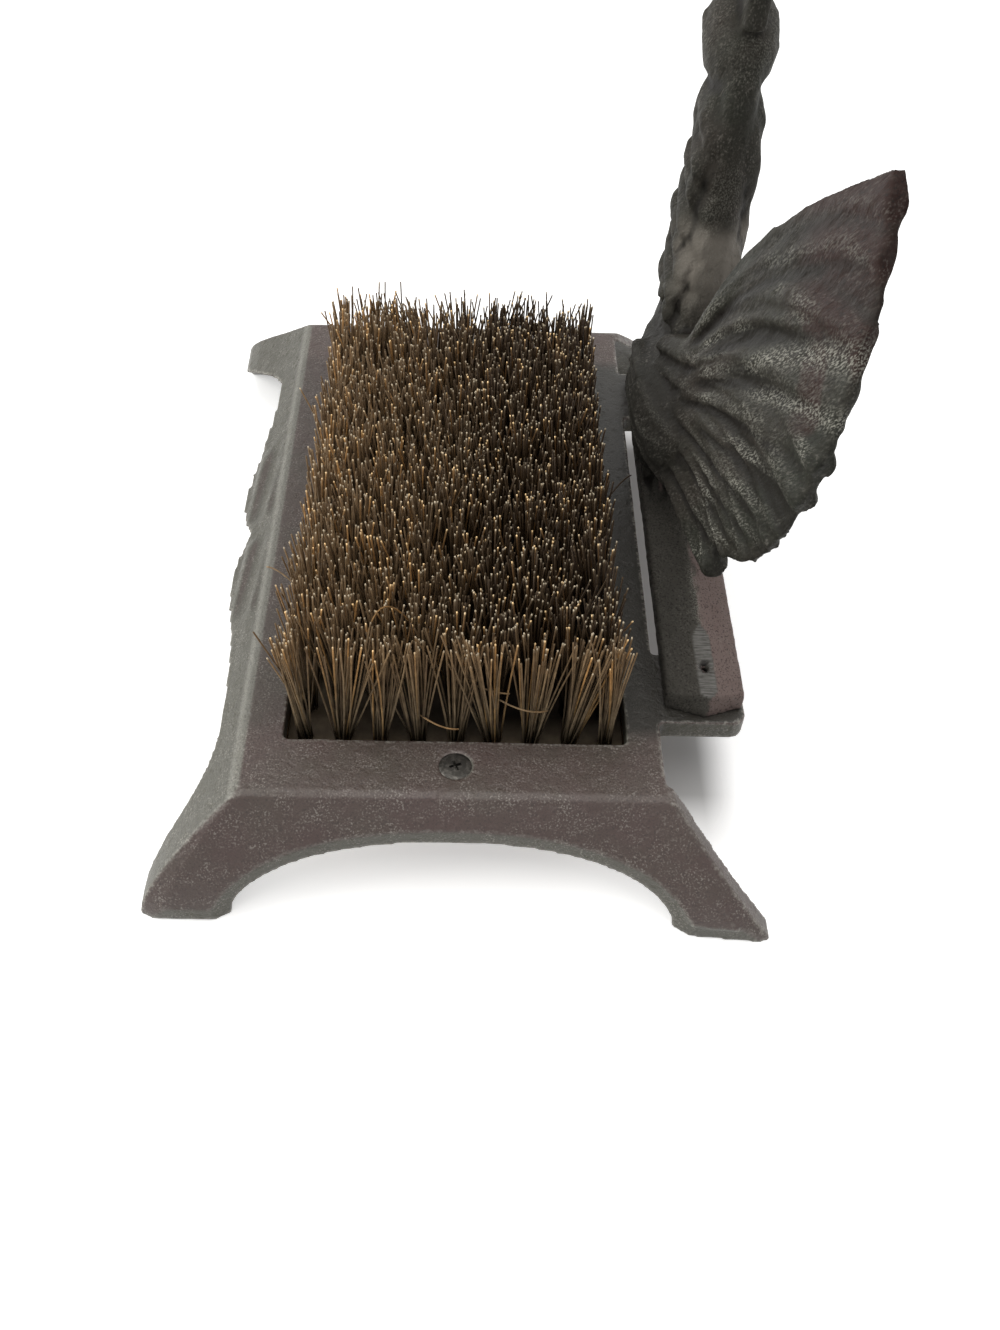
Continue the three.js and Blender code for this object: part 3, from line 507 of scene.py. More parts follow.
def sand_cast_group():
    """Sand-cast skin: grain as a height, patches of tone, and bright and dark specks."""
    group, given = new_group(
        "sand_cast_skin", ("Grain Size", "Speck Size"), ("Height", "Patch", "Speck", "Soot")
    )
    place = given["Place"]
    grain = speckle(group, "grain", place, given["Grain Size"], 5.0, Roughness=0.62)
    pits = speckle(group, "pits", place, 330.0, 2.0)
    pit_share = times(group, "pit share", span(group, "pitted", pits, 0.3, 0.46), 0.4)
    patch = speckle(group, "patches", place, 42.0, 5.0, Roughness=0.6)
    fine = speckle(group, "specks", place, given["Speck Size"], 1.0)
    loose = speckle(group, "clusters", place, 190.0, 3.0)
    bright = span(group, "bright specks", fine, 0.55, 0.70)
    put(
        group, "NodeGroupOutput", "result",
        Height=math_node(group, "MULTIPLY_ADD", "height", grain, 0.6, pit_share),
        Patch=span(group, "patch tone", patch, 0.36, 0.64),
        Speck=times(group, "clustered", bright, span(group, "cluster", loose, 0.38, 0.62)),
        Soot=span(group, "dark specks", fine, 0.44, 0.30),
    )
    return group


def rubbed_edge_group():
    """Edges rubbed bright in broken lines, and creases made darker."""
    group, given = new_group("rubbed_edges", ("Amount",), ("Rubbed", "Dirt"))
    relief = layer_value(group, "relief")
    broken = speckle(group, "broken line", given["Place"], 760.0, 5.0, Roughness=0.68)
    gaps = span(group, "gaps", broken, 0.44, 0.62)
    rubbed = times(group, "rubbed", span(group, "edge", relief, 0.35, 0.85), gaps)
    put(
        group, "NodeGroupOutput", "result",
        Rubbed=times(group, "amount", rubbed, given["Amount"]),
        Dirt=span(group, "dirt", relief, -0.2, -0.9),
    )
    return group


sand_cast = sand_cast_group()
rubbed_edges = rubbed_edge_group()


def use_group(tree, group, label, **inputs):
    """A node group placed in a material with its own values."""
    node = put(tree, "ShaderNodeGroup", label)
    node.node_tree = group
    for key, value in inputs.items():
        feed(tree, node.inputs[key.replace("_", " ")], value)
    return node.outputs


def lay_coats(tree, tone, coats):
    """Lays coats over a tone in turn; a coat is its label, where it lies, how far, and a colour."""
    for label, where, share, colour in coats:
        if share < 1:
            where = times(tree, f"{label} share", where, share)
        tone = blend_colour(tree, label, where, tone, colour)
    return tone


material, tree = new_material("stand_iron")
place = object_place(tree)
skin = use_group(tree, sand_cast, "skin", Place=place, Grain_Size=1000.0, Speck_Size=1800.0)
arrises = use_group(tree, rubbed_edges, "arrises", Place=place, Amount=0.6)
faint_grey = times(tree, "faint grey", skin["Patch"], 0.45)
greyer = larger(tree, "greyer", faint_grey, layer_value(tree, "grey"))
# Painted shade on the end faces, with a redder tone.
end_grey = times(tree, "faint grey of the ends", skin["Patch"], 0.3)
end_tone = blend_colour(tree, "shaded end tone", end_grey, IRON_END_SHADED, IRON_GREY)
tone = blend_colour(tree, "red-brown finish", greyer, IRON_RED, IRON_GREY)
tone = lay_coats(tree, tone, (
    ("redder, shaded ends", layer_value(tree, "end_face"), 0.85, end_tone),
    # The strip's lighter colour is a painted highlight.
    ("painted highlight on the strip", layer_value(tree, "strip"), 1.0, IRON_STRIP_LIT),
    ("soot", skin["Soot"], 0.55, IRON_SOOT),
    ("specks", skin["Speck"], 0.7, IRON_SPECK),
    # Painted shade beside the brush.
    ("painted shade by the brush", layer_value(tree, "plate_shade"), 0.8, IRON_PAINTED_SHADE),
    ("rubbed arrises", arrises["Rubbed"], 1.0, IRON_RUBBED),
    ("dirt", arrises["Dirt"], 0.7, IRON_CREASE_DARK),
))
bump = put(
    tree, "ShaderNodeBump", "grain bump", Height=skin["Height"], Strength=0.8, Distance=0.0004
)
finish = put(
    tree, "ShaderNodeBsdfPrincipled", "cast iron",
    Base_Color=tone, Normal=bump.outputs[0], Metallic=0.1,
    Roughness=span(tree, "satin", skin["Height"], 0.3, 0.8, 0.56, 0.40),
)
put(tree, "ShaderNodeOutputMaterial", "output", Surface=finish.outputs[0])
dress(stand, material)


# Brush board: a plain hardwood board, sawn and left bare, clamped up under the stand's top by two
# screws. Its arrises are eased by hand.
BOARD_EASE = 0.0008
BOARD_WELD = 1e-6
RING_STRETCH = (95.0, 5.0, 95.0)
PORE_STRETCH = (1400.0, 90.0, 1400.0)
LATE_WOOD = (0.16, 0.088, 0.042, 1)
EARLY_WOOD = (0.30, 0.185, 0.095, 1)
OPEN_PORE = (0.06, 0.034, 0.018, 1)

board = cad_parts["brush_board"]
weld = board.modifiers.new("one skin", "WELD")
weld.merge_threshold = BOARD_WELD
ease = board.modifiers.new("eased arrises", "BEVEL")
ease.width = BOARD_EASE
ease.segments = 2
ease.limit_method = "ANGLE"

material, tree = new_material("board_wood")
place = object_place(tree)
ring_way = put(tree, "ShaderNodeMapping", "ring direction", Vector=place, Scale=RING_STRETCH)
rings = speckle(tree, "growth rings", ring_way.outputs[0], 1.0, 4.0, Distortion=0.6)
pore_way = put(tree, "ShaderNodeMapping", "pore direction", Vector=place, Scale=PORE_STRETCH)
pores = speckle(tree, "pores", pore_way.outputs[0], 1.0, 2.0)
early = span(tree, "early wood", rings, 0.35, 0.65)
tone = blend_colour(tree, "wood", early, LATE_WOOD, EARLY_WOOD)
open_pores = span(tree, "open pores", pores, 0.36, 0.46, 0.55, 0.0)
tone = blend_colour(tree, "pored wood", open_pores, tone, OPEN_PORE)
bump = put(tree, "ShaderNodeBump", "saw texture", Height=pores, Strength=0.5, Distance=0.0003)
finish = put(
    tree, "ShaderNodeBsdfPrincipled", "bare wood",
    Base_Color=tone, Normal=bump.outputs[0], Roughness=0.78,
)
put(tree, "ShaderNodeOutputMaterial", "output", Surface=finish.outputs[0])
dress(board, material)


# Bristles: stiff plant fibres, set as tufts in holes of a thin backing and cut to an even length.
# Each tuft spreads as it rises, so the tufts part at their feet and mix at their tips.
# A few fibres have worked loose and lie across the others.
FIBRE_SEED = 11
TUFT_COLUMNS = 9
TUFT_ROWS = 16
BRISTLE_SLICES = 4
SLICE_GAP = 0.0003
WINDOW_WIDTH = 0.098
WINDOW_LENGTH = 0.188
BACKING_TOP = 0.029
BACKING_THICKNESS = 0.003
BACKING_EASE = 0.0004
TUFT_MARGIN = 0.0055
TUFT_SINK = 0.0005
TUFT_FOOT = 0.0022
TUFT_SPREAD = 0.0066
TUFT_SWAY = 0.0013
END_SWAY = 0.0034
LEFT_LEAN = -0.0012
FIBRES_PER_TUFT = 44
END_FIBRES = 34
FIBRE_SIDES = 5
FIBRE_CUTS = 2
FIBRE_FOOT = 0.00029
FIBRE_TIP = 0.00026
FIBRE_TURN = 2.4
TURN_DRAW = 0.3
SPREAD_DRAW = (0.7, 1.25)
SPREAD_DROP = 0.08
FIBRE_STRAY = 0.0027
FIBRE_BEND = 0.0014
BENT_SHARE = 0.04
BENT_MORE = 2.2
BENT_RISE = (-0.004, 0.0042)
TIP_LEFT = 0.0493
TIP_RIGHT = 0.0460
TIP_END = 0.0905
TIP_DRAW = 0.003
RIM_RAGGED = 0.0035
TIP_HEIGHT = 0.0650
TIP_FALL = 0.0060
TUFT_RAGGED = 0.0011
TIP_RAGGED = 0.0026
# A loose fibre's foot, knee, tip and tone.
LOOSE_FIBRES = (
    ((-0.027, -0.083, 0.060), (-0.024, -0.074, 0.080), (-0.0145, -0.0765, 0.066), 0.96),
    ((0.0085, -0.086, 0.047), (0.018, -0.094, 0.047), (0.0245, -0.0898, 0.045), 0.80),
    ((0.002, -0.085, 0.051), (0.009, -0.090, 0.052), (0.0135, -0.088, 0.050), 0.74),
    ((-0.0115, -0.089, 0.041), (-0.005, -0.0945, 0.041), (-0.0005, -0.093, 0.040), 0.86),
    ((-0.046, -0.060, 0.060), (-0.053, -0.054, 0.064), (-0.0575, -0.0495, 0.060), 0.62),
    ((0.001, -0.007, 0.063), (0.006, -0.004, 0.071), (0.0115, -0.002, 0.066), 0.70),
    ((-0.030, 0.088, 0.029), (-0.0306, 0.089, 0.050), (-0.0302, 0.0915, 0.0685), 0.20),
    ((-0.0245, 0.088, 0.029), (-0.0240, 0.089, 0.050), (-0.0246, 0.0915, 0.0688), 0.12),
    ((0.040, -0.020, 0.055), (0.048, -0.013, 0.066), (0.0525, -0.006, 0.062), 0.15),
    ((0.030, -0.076, 0.056), (0.037, -0.070, 0.071), (0.041, -0.060, 0.069), 0.66),
)
LOOSE_CUTS = 9
LOOSE_FOOT_SHARE = 0.45
LOOSE_SHARE_RUN = 0.54
# A fibre's colours at these shares of its length, foot to cut end; darker at the foot: painted
# shade.
FIBRE_STOPS = (0.0, 0.35, 0.65, 0.955, 0.985, 1.0)
# Colours in painted shade, for the fibres inside the brush.
FIBRES_IN_SHADE = (
    (0.010, 0.007, 0.004), (0.022, 0.014, 0.008), (0.036, 0.023, 0.012),
    (0.048, 0.030, 0.015), (0.120, 0.086, 0.050), (0.70, 0.60, 0.44),
)
# Colours in painted light, for the fibres on the open sides.
FIBRES_IN_LIGHT = (
    (0.160, 0.128, 0.084), (0.250, 0.188, 0.118), (0.260, 0.178, 0.100),
    (0.245, 0.155, 0.078), (0.30, 0.210, 0.120), (0.68, 0.56, 0.40),
)
# The open left side and the front row take the lit colours: painted light.
OPEN_LEFT = (0.010, -0.048, 0.0, 0.8)
OPEN_FRONT = (-0.079, -0.090)
GILT = (2.0, 1.65, 1.15, 1)
DUSK = (0.40, 0.38, 0.38, 1)
FIBRE_MOTTLE = (0.020, 0.011, 0.007, 1)

pitch_x = (WINDOW_WIDTH - 2 * TUFT_MARGIN) / (TUFT_COLUMNS - 1)
pitch_y = (WINDOW_LENGTH - 2 * TUFT_MARGIN) / (TUFT_ROWS - 1)
slice_rows = TUFT_ROWS // BRISTLE_SLICES
chance = random.Random(FIBRE_SEED)


def plant_fibre(bm, layers, foot, tip, bend, tone):
    """One straight fibre from foot to tip; its bend is kept for later."""
    run = tip - foot
    turn = run.to_track_quat("Z", "Y").to_matrix().to_4x4()
    spin = Matrix.Rotation(chance.uniform(0, math.tau), 4, "Z")
    fibre = bmesh.ops.create_cone(
        bm, cap_ends=True, segments=FIBRE_SIDES, radius1=FIBRE_FOOT, radius2=FIBRE_TIP,
        depth=run.length, matrix=Matrix.Translation((foot + tip) / 2) @ turn @ spin,
    )
    upwards = sorted(fibre["verts"], key=lambda vert: (vert.co - foot).dot(run))
    for index, vert in enumerate(upwards):
        vert[layers["share"]] = 0.0 if index < FIBRE_SIDES else 1.0
        vert[layers["tone"]] = tone
        vert[layers["bend"]] = bend


def make_tuft(bm, layers, foot, sway):
    """The fibres of one tuft, from a tight foot to spread tips."""
    height = TIP_HEIGHT - TIP_FALL * foot.y / WINDOW_LENGTH + chance.gauss(0, TUFT_RAGGED)
    lean = Vector((LEFT_LEAN, 0, 0)) + sway
    at_end = abs(foot.y) > WINDOW_LENGTH / 2 - pitch_y
    left_rim = stand_x - TIP_LEFT + TIP_DRAW * (foot.y / WINDOW_LENGTH + 0.5)
    count = END_FIBRES if at_end else FIBRES_PER_TUFT
    for number in range(count):
        turn = FIBRE_TURN * number + chance.uniform(-TURN_DRAW, TURN_DRAW)
        reach = math.sqrt((number + 0.5) / count)
        way = Vector((math.cos(turn), math.sin(turn), 0))
        spread = TUFT_SPREAD * reach * chance.uniform(*SPREAD_DRAW)
        stray = Vector((chance.gauss(0, FIBRE_STRAY), chance.gauss(0, FIBRE_STRAY), 0))
        tip = foot + lean + way * spread + stray
        rim = chance.uniform(0, RIM_RAGGED)
        tip.x = min(max(tip.x, left_rim + rim), stand_x + TIP_RIGHT - rim)
        tip.y = min(max(tip.y, rim - TIP_END), TIP_END - rim)
        tip.z = height + chance.gauss(0, TIP_RAGGED) - SPREAD_DROP * spread
        bend = Vector((chance.gauss(0, FIBRE_BEND), chance.gauss(0, FIBRE_BEND), 0))
        if chance.random() < BENT_SHARE:
            bend = bend * BENT_MORE + Vector((0, 0, chance.uniform(*BENT_RISE)))
        plant_fibre(bm, layers, foot + way * reach * TUFT_FOOT, tip, bend, chance.random())


def edges_of(verts):
    """The edges at some vertices, each once and always in the same order."""
    return list(dict.fromkeys(edge for vert in verts for edge in vert.link_edges))


def lay_loose_fibre(bm, layers, foot, knee, tip, tone):
    """A long fibre bowed over from foot to tip by way of its knee."""
    fibre = bmesh.ops.create_cone(
        bm, cap_ends=True, segments=FIBRE_SIDES, radius1=FIBRE_TIP, radius2=FIBRE_TIP,
        depth=1.0, matrix=Matrix.Translation((0, 0, 0.5)),
    )
    for vert in fibre["verts"]:
        vert[layers["tone"]] = -1
    rims_and_sides = edges_of(fibre["verts"])
    sides = [e for e in rims_and_sides if abs(e.verts[0].co.z - e.verts[1].co.z) > 0.5]
    bmesh.ops.subdivide_edges(bm, edges=sides, cuts=LOOSE_CUTS, use_grid_fill=False)
    for vert in [v for v in bm.verts if v[layers["tone"]] < 0]:
        share = vert.co.z
        spot = (1 - share) ** 2 * foot + 2 * share * (1 - share) * knee + share ** 2 * tip
        way = (1 - share) * (knee - foot) + share * (tip - knee)
        turn = way.to_track_quat("Z", "Y").to_matrix()
        vert.co = spot + turn @ Vector((vert.co.x, vert.co.y, 0))
        vert[layers["share"]] = LOOSE_FOOT_SHARE + LOOSE_SHARE_RUN * share
        vert[layers["tone"]] = tone


def fibre_ramp(tree, label, length_share, colours):
    """A fibre's colour from its foot to its cut end."""
    node = put(tree, "ShaderNodeValToRGB", label, Fac=length_share)
    stops = node.color_ramp.elements
    while len(stops) < len(FIBRE_STOPS):
        stops.new(0.5)
    for stop, spot, colour in zip(stops, FIBRE_STOPS, colours):
        stop.position = spot
        stop.color = (*colour, 1)
    return node.outputs[0]


bristle_material, tree = new_material("bristle")
length_share = layer_value(tree, "share")
fibre_tone = layer_value(tree, "tone")
place = object_place(tree)
axes = put(tree, "ShaderNodeSeparateXYZ", "across and along", Vector=place).outputs
left_side = span(tree, "left side", axes["X"], *OPEN_LEFT)
front_row = span(tree, "front row", axes["Y"], *OPEN_FRONT)
open_sides = larger(tree, "open sides", left_side, front_row)
pale_cut = span(tree, "pale cut ends", fibre_tone, 0.40, 0.62)
shafts = []
for label, colours in (("in the shade", FIBRES_IN_SHADE), ("in the light", FIBRES_IN_LIGHT)):
    dull_colours = colours[:4] + colours[3:5]
    dull = fibre_ramp(tree, f"dull fibres {label}", length_share, dull_colours)
    pale = fibre_ramp(tree, f"pale fibres {label}", length_share, colours)
    shafts.append(blend_colour(tree, f"fibres {label}", pale_cut, dull, pale))
# Painted light on the open sides, painted shade inside the brush.
shaft = blend_colour(tree, "painted light on open sides", open_sides, *shafts)
golden = span(tree, "golden few", fibre_tone, 0.80, 0.97)
gilt = blend_colour(tree, "gilt", 1.0, shaft, GILT, "MULTIPLY")
shaft = blend_colour(tree, "golden fibres", golden, shaft, gilt)
dusky = span(tree, "dusky few", fibre_tone, 0.0, 0.45, 0.85, 0.0)
dusk = blend_colour(tree, "dusk", 1.0, shaft, DUSK, "MULTIPLY")
shaft = blend_colour(tree, "dusky fibres", dusky, shaft, dusk)
mottle = speckle(tree, "mottle", place, 420.0, 2.0)
mottled = span(tree, "mottle share", mottle, 0.35, 0.65, 0.0, 0.4)
shaft = blend_colour(tree, "mottled", mottled, shaft, FIBRE_MOTTLE)
bump = put(tree, "ShaderNodeBump", "fibre skin", Height=mottle, Strength=0.3, Distance=0.0002)
finish = put(
    tree, "ShaderNodeBsdfPrincipled", "plant fibre",
    Base_Color=shaft, Normal=bump.outputs[0], Roughness=0.5, Specular_IOR_Level=0.12,
)
put(tree, "ShaderNodeOutputMaterial", "output", Surface=finish.outputs[0])

for number in range(BRISTLE_SLICES):
    bm = bmesh.new()
    layers = {
        "share": bm.verts.layers.float.new("share"),
        "tone": bm.verts.layers.float.new("tone"),
        "bend": bm.verts.layers.float_vector.new("bend"),
    }
    middle_y = (number - (BRISTLE_SLICES - 1) / 2) * slice_rows * pitch_y
    size = Vector((TUFT_COLUMNS * pitch_x, slice_rows * pitch_y - SLICE_GAP, BACKING_THICKNESS))
    centre = Vector((stand_x, middle_y, BACKING_TOP - size.z / 2))
    backing = bmesh.ops.create_cube(
        bm, matrix=Matrix.Translation(centre) @ Matrix.Diagonal((*size, 1))
    )
    bmesh.ops.bevel(
        bm, geom=edges_of(backing["verts"]), offset=BACKING_EASE, segments=2, profile=0.5,
        affect="EDGES", material=-1,
    )
    for row in range(slice_rows):
        end_row = number * slice_rows + row in (0, TUFT_ROWS - 1)
        for column in range(TUFT_COLUMNS):
            foot = Vector((
                stand_x + (column - (TUFT_COLUMNS - 1) / 2) * pitch_x,
                middle_y + (row - (slice_rows - 1) / 2) * pitch_y,
                BACKING_TOP - TUFT_SINK,
            ))
            sway_x = chance.gauss(0, END_SWAY if end_row else TUFT_SWAY)
            make_tuft(bm, layers, foot, Vector((sway_x, chance.gauss(0, TUFT_SWAY), 0)))
    share = layers["share"]
    long_edges = [e for e in bm.edges if abs(e.verts[0][share] - e.verts[1][share]) > 0.5]
    bmesh.ops.subdivide_edges(bm, edges=long_edges, cuts=FIBRE_CUTS, use_grid_fill=False)
    for vert in bm.verts:
        vert.co += vert[layers["bend"]] * vert[share] ** 2
    for foot, knee, tip, tone in LOOSE_FIBRES:
        if abs(foot[1] - middle_y) < slice_rows * pitch_y / 2:
            lay_loose_fibre(bm, layers, Vector(foot), Vector(knee), Vector(tip), tone)
    bm.verts.layers.float_vector.remove(layers["bend"])
    fibres = make_object(f"brush_fibres_{number + 1}", bm)
    fibres.data.shade_smooth()
    dress(fibres, bristle_material)
    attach(fibres, "root")
    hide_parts(f"bristles_{number + 1}")


# Brush screws: blackened steel wood screws with countersunk cross heads, driven down through the
# stand's top into the board. The heads sit level with the casting.
HEAD_SIDES = 48
HEAD_CREASE = math.radians(35)
RECESS_SPAN = 0.0050
RECESS_WIDTH = 0.0011
RECESS_DEPTH = 0.0016
RECESS_TURN = 0.35
RECESS_FLOOR = (0.45, 0.6)
CROSS_RECESS_Z = 0.0002
WOOD_SHANK = 0.0023
WOOD_POINT = 0.0008
WOOD_POINT_LENGTH = 0.0069
BLACK_STEEL = (0.045, 0.042, 0.037, 1)
BLACK_RUBBED = (0.12, 0.112, 0.10, 1)


def turn_screw(name, outline, place, recess_z, recess_way):
    """A screw turned from an outline of radius and height pairs, with a cross cut in its head."""
    bm = bmesh.new()
    chain = [bm.verts.new((radius, 0, height)) for radius, height in outline]
    for a, b in zip(chain, chain[1:]):
        bm.edges.new((a, b))
    bmesh.ops.spin(
        bm, geom=bm.verts[:] + bm.edges[:], cent=(0, 0, 0), axis=(0, 0, 1), angle=math.tau,
        steps=HEAD_SIDES, use_merge=True,
    )
    bmesh.ops.remove_doubles(bm, verts=bm.verts, dist=SAME_POINT)
    bmesh.ops.recalc_face_normals(bm, faces=bm.faces)
    bmesh.ops.translate(bm, verts=bm.verts, vec=place)
    screw = make_object(name, bm)
    cutters = []
    for turn in (RECESS_TURN, RECESS_TURN + math.pi / 2):
        bm = bmesh.new()
        slot_size = (RECESS_SPAN, RECESS_WIDTH, 2 * RECESS_DEPTH, 1)
        bmesh.ops.create_cube(bm, matrix=Matrix.Diagonal(slot_size))
        for vert in bm.verts:
            if vert.co.z * recess_way < 0:
                vert.co.x *= RECESS_FLOOR[0]
                vert.co.y *= RECESS_FLOOR[1]
        spot = Matrix.Translation(place + Vector((0, 0, recess_z)))
        bmesh.ops.transform(bm, matrix=spot @ Matrix.Rotation(turn, 4, "Z"), verts=bm.verts)
        cutter = make_object("recess", bm)
        cut = screw.modifiers.new("recess", "BOOLEAN")
        cut.object = cutter
        cut.solver = "EXACT"
        cutters.append(cutter)
    bake_modifiers(screw)
    for cutter in cutters:
        bpy.data.objects.remove(cutter)
    screw.data.shade_smooth()
    screw.data.set_sharp_from_angle(angle=HEAD_CREASE)
    return screw


def screw_steel(name, colour, bright):
    """Dull turned steel with rubbed spots."""
    material, tree = new_material(name)
    spots = speckle(tree, "spots", object_place(tree), 900.0, 4.0)
    tone = blend_colour(tree, "rubbed", span(tree, "rub", spots, 0.45, 0.7), colour, bright)
    bump = put(tree, "ShaderNodeBump", "skin", Height=spots, Strength=0.35, Distance=0.0002)
    finish = put(
        tree, "ShaderNodeBsdfPrincipled", "steel",
        Base_Color=tone, Normal=bump.outputs[0], Metallic=0.75,
        Roughness=span(tree, "dull", spots, 0.3, 0.7, 0.5, 0.36),
    )
    put(tree, "ShaderNodeOutputMaterial", "output", Surface=finish.outputs[0])
    return material


dark_steel = screw_steel("dark_screw", BLACK_STEEL, BLACK_RUBBED)
for end in ("front", "rear"):
    low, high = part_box(f"brush_screw_{end}")
    place = Vector(((low.x + high.x) / 2, (low.y + high.y) / 2, high.z))
    head = (high.x - low.x) / 2
    tip = low.z - high.z
    outline = (
        (0, tip), (WOOD_POINT, tip), (WOOD_SHANK, tip + WOOD_POINT_LENGTH),
        (WOOD_SHANK, WOOD_SHANK - head), (head, -0.0004), (head, -0.0002),
        (head - 0.0003, 0), (head - 0.0009, 0.00012), (0, 0.0003),
    )
    screw = turn_screw(f"cross_head_{end}", outline, place, CROSS_RECESS_Z, 1)
    dress(screw, dark_steel)
    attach(screw, "root")
    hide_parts(f"brush_screw_{end}")


# Scraper bar and cockerel: one heavy iron casting, the bird's feathers ribbed in the mould.
# The bar's ridge is ground flat where each screw breaks through. The feathers' crests carry
# painted highlights as glints, and two streaks of wear along them glint as well.
BIRD_VOXEL = 0.00088
BIRD_SOFTENING = 3
FORM_ROUNDS = 8
BIRD_RELIEF_ROUNDS = 12
BIRD_RELIEF_REACH = 0.00045
BIRD_SWELL = 0.00010
BIRD_GRAIN = 0.00016
RIDGE_RISE = 0.010
BIRD_RISE = (0.001, 0.006)
TAIL_ROOT_Y = 0.008
TAIL_ROOT_RISE = 0.045
# The tail's creases by reach from its root in metres and by angle up from the level.
TAIL_CREASE = 0.0019
TAIL_START = (0.03, 0.07)
TAIL_TOP = (1.05, 1.25)
TAIL_BOW = 2.4
TAIL_FACE = 0.6
BROAD_CREASES = (17, 12, 4.1)
FINE_CREASES = (41, 16, 8.7)
FINE_CREASE_SHARE = 0.45
FEATHER_WAY = Vector((0, -0.67, 0.742))
FEATHER_TURN = 0.836
FEATHER_DRAW = 0.8
NECK_FOOT = 0.090
NECK_TOP = 0.168
NECK_FADE = (0.01, 0.015)
NECK_BACK = 0.012
NECK_FACE = (0.2, 0.6)
LOBE_LENGTH = 0.0105
LOBE_DEPTH = 0.0013
LOBE_SLANT = 0.5
LOBE_MIDDLE = 0.6
RIDGE_NEAR = 0.001
RIDGE_CROWN = (0.0006, 0.0016)
RIDGE_CHIPS = 0.0004
CHIP_SCALE = 330
CHIP_SEED = 3.7
CHIP_SHARE = 0.15
GROUND_NEAR = 0.054
GROUND_FULL = 0.060
GROUND_DEPTH = 0.0009
PIT_Y = 0.0716
PIT_WIDTH = 0.0012
PIT_LENGTH = 0.0022
PIT_DEPTH = 0.0022
PIT_EDGE = (0.7, 1.3)
RED_REACH = (0.118, 0.150)
RED_ANGLE = (0.63, 0.70)
RED_RAGGED = 0.25
RED_RAGGED_SCALE = 60
SHEEN_LEAST = 0.25
SHEEN_START = (0.03, 0.06)
# A worn crest's spread and its angle at the middle reach.
WORN_CRESTS = ((0.020, 0.715), (0.016, 0.640))
WORN_SLOPE = 0.68
WORN_MIDDLE = 0.114
WORN_START = (0.080, 0.105)
RIM_RELIEF = 0.85
RIM_ROUNDS = 6
RIM_DULLS = 5
NAPE_ROUNDS = 10
# Where a layer starts and how far on it is full, in parts of a normal or in metres.
BAR_TOP = (0.0035, 0.003)
NAPE_FACES = (0.15, 0.55)
NAPE_BACK = (0.008, 0.006)
NAPE_TOP = (0.137, 0.006)
NAPE_FOOT = (0.098, 0.02)
# Where the painted shade on the left flank lies.
FLANK_FACES = (0.1, 0.3)
FLANK_TOP = (0.112, 0.015)
FLANK_BACK = (-0.03, 0.02)
SLOPE_FACES = (0.1, 0.15)
BAR_GREY = (0.058, 0.054, 0.046, 1)
# Lighter and redder: the bar's right slope, partly painted light.
BAR_RED_LIT = (0.140, 0.104, 0.094, 1)
BIRD_BROWN = (0.024, 0.020, 0.016, 1)
BIRD_GREY = (0.020, 0.021, 0.016, 1)
BIRD_RED = (0.023, 0.012, 0.010, 1)
BIRD_NAPE = (0.165, 0.148, 0.126, 1)
# Painted shade, for the left flank and the hollows.
BIRD_SHADE = (0.012, 0.011, 0.009, 1)
BIRD_SOOT = (0.012, 0.010, 0.009, 1)
# A painted highlight for the glints.
BIRD_GLINT = (0.36, 0.35, 0.30, 1)
BIRD_RUBBED = (0.20, 0.19, 0.165, 1)
# Painted shade in the creases.
BIRD_CREASE_SHADE = (0.011, 0.009, 0.008, 1)
GROUND_IRON = (0.165, 0.160, 0.148, 1)
GROUND_MARKS = (0.075, 0.071, 0.065, 1)
GROUND_STRETCH = (240.0, 1900.0, 240.0)
PIT_DARK = (0.006, 0.005, 0.005, 1)

bird_low, bird_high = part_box("cockerel_on_bar")
bar_x = (bird_low.x + bird_high.x) / 2
ridge = bird_low.z + RIDGE_RISE
tail_root = Vector((bar_x, TAIL_ROOT_Y, bird_low.z + TAIL_ROOT_RISE))


def is_bird(point):
    """How far a point belongs to the bird, not to its bar."""
    return smooth_step(ridge + BIRD_RISE[0], ridge + BIRD_RISE[1], point.z)


def tail_place(point):
    """A point's reach from the tail's root and its angle up from the level, from the side."""
    back, up = tail_root.y - point.y, point.z - tail_root.z
    return math.hypot(back, up), math.atan2(up, back)


def tail_crease(point):
    """Uneven ridges and creases that bow out from the tail's root."""
    reach, angle = tail_place(point)
    on_tail = smooth_step(*TAIL_START, reach) * (1 - smooth_step(*TAIL_TOP, angle))
    on_tail *= is_bird(point)
    if not on_tail:
        return 0
    bow = angle + TAIL_BOW * reach
    broad, fine = (
        noise.noise(Vector((bow * across, reach * along, seed)))
        for across, along, seed in (BROAD_CREASES, FINE_CREASES)
    )
    return on_tail * (broad + FINE_CREASE_SHARE * fine)


def bird_skin(point, normal):
    """The mould's waves and grain along the feathers, creases, lobes and a chipped ridge."""
    drawn = point - FEATHER_DRAW * point.dot(FEATHER_WAY) * FEATHER_WAY
    skin = cast_skin(drawn, BIRD_SWELL, BIRD_GRAIN)
    if abs(normal.x) > TAIL_FACE:
        skin += TAIL_CREASE * tail_crease(point)
    on_neck = point.y > NECK_BACK and NECK_FOOT < point.z < NECK_TOP
    if on_neck and normal.x < -NECK_FACE[0]:
        wave = math.sin(math.pi * (point.z - LOBE_SLANT * point.y) / LOBE_LENGTH)
        ends = plateau(
            (NECK_FOOT, NECK_FOOT + NECK_FADE[0]), (NECK_TOP - NECK_FADE[1], NECK_TOP), point.z
        )
        lobe = (abs(wave) - LOBE_MIDDLE) * ends * smooth_step(*NECK_FACE, -normal.x)
        skin += LOBE_DEPTH * lobe
    if abs(point.z - ridge) < RIDGE_NEAR:
        crown = 1 - smooth_step(*RIDGE_CROWN, abs(point.x - bar_x))
        chip = noise.noise(Vector((0, point.y * CHIP_SCALE, CHIP_SEED))) + CHIP_SHARE
        skin -= RIDGE_CHIPS * crown * max(0, chip)
    return skin


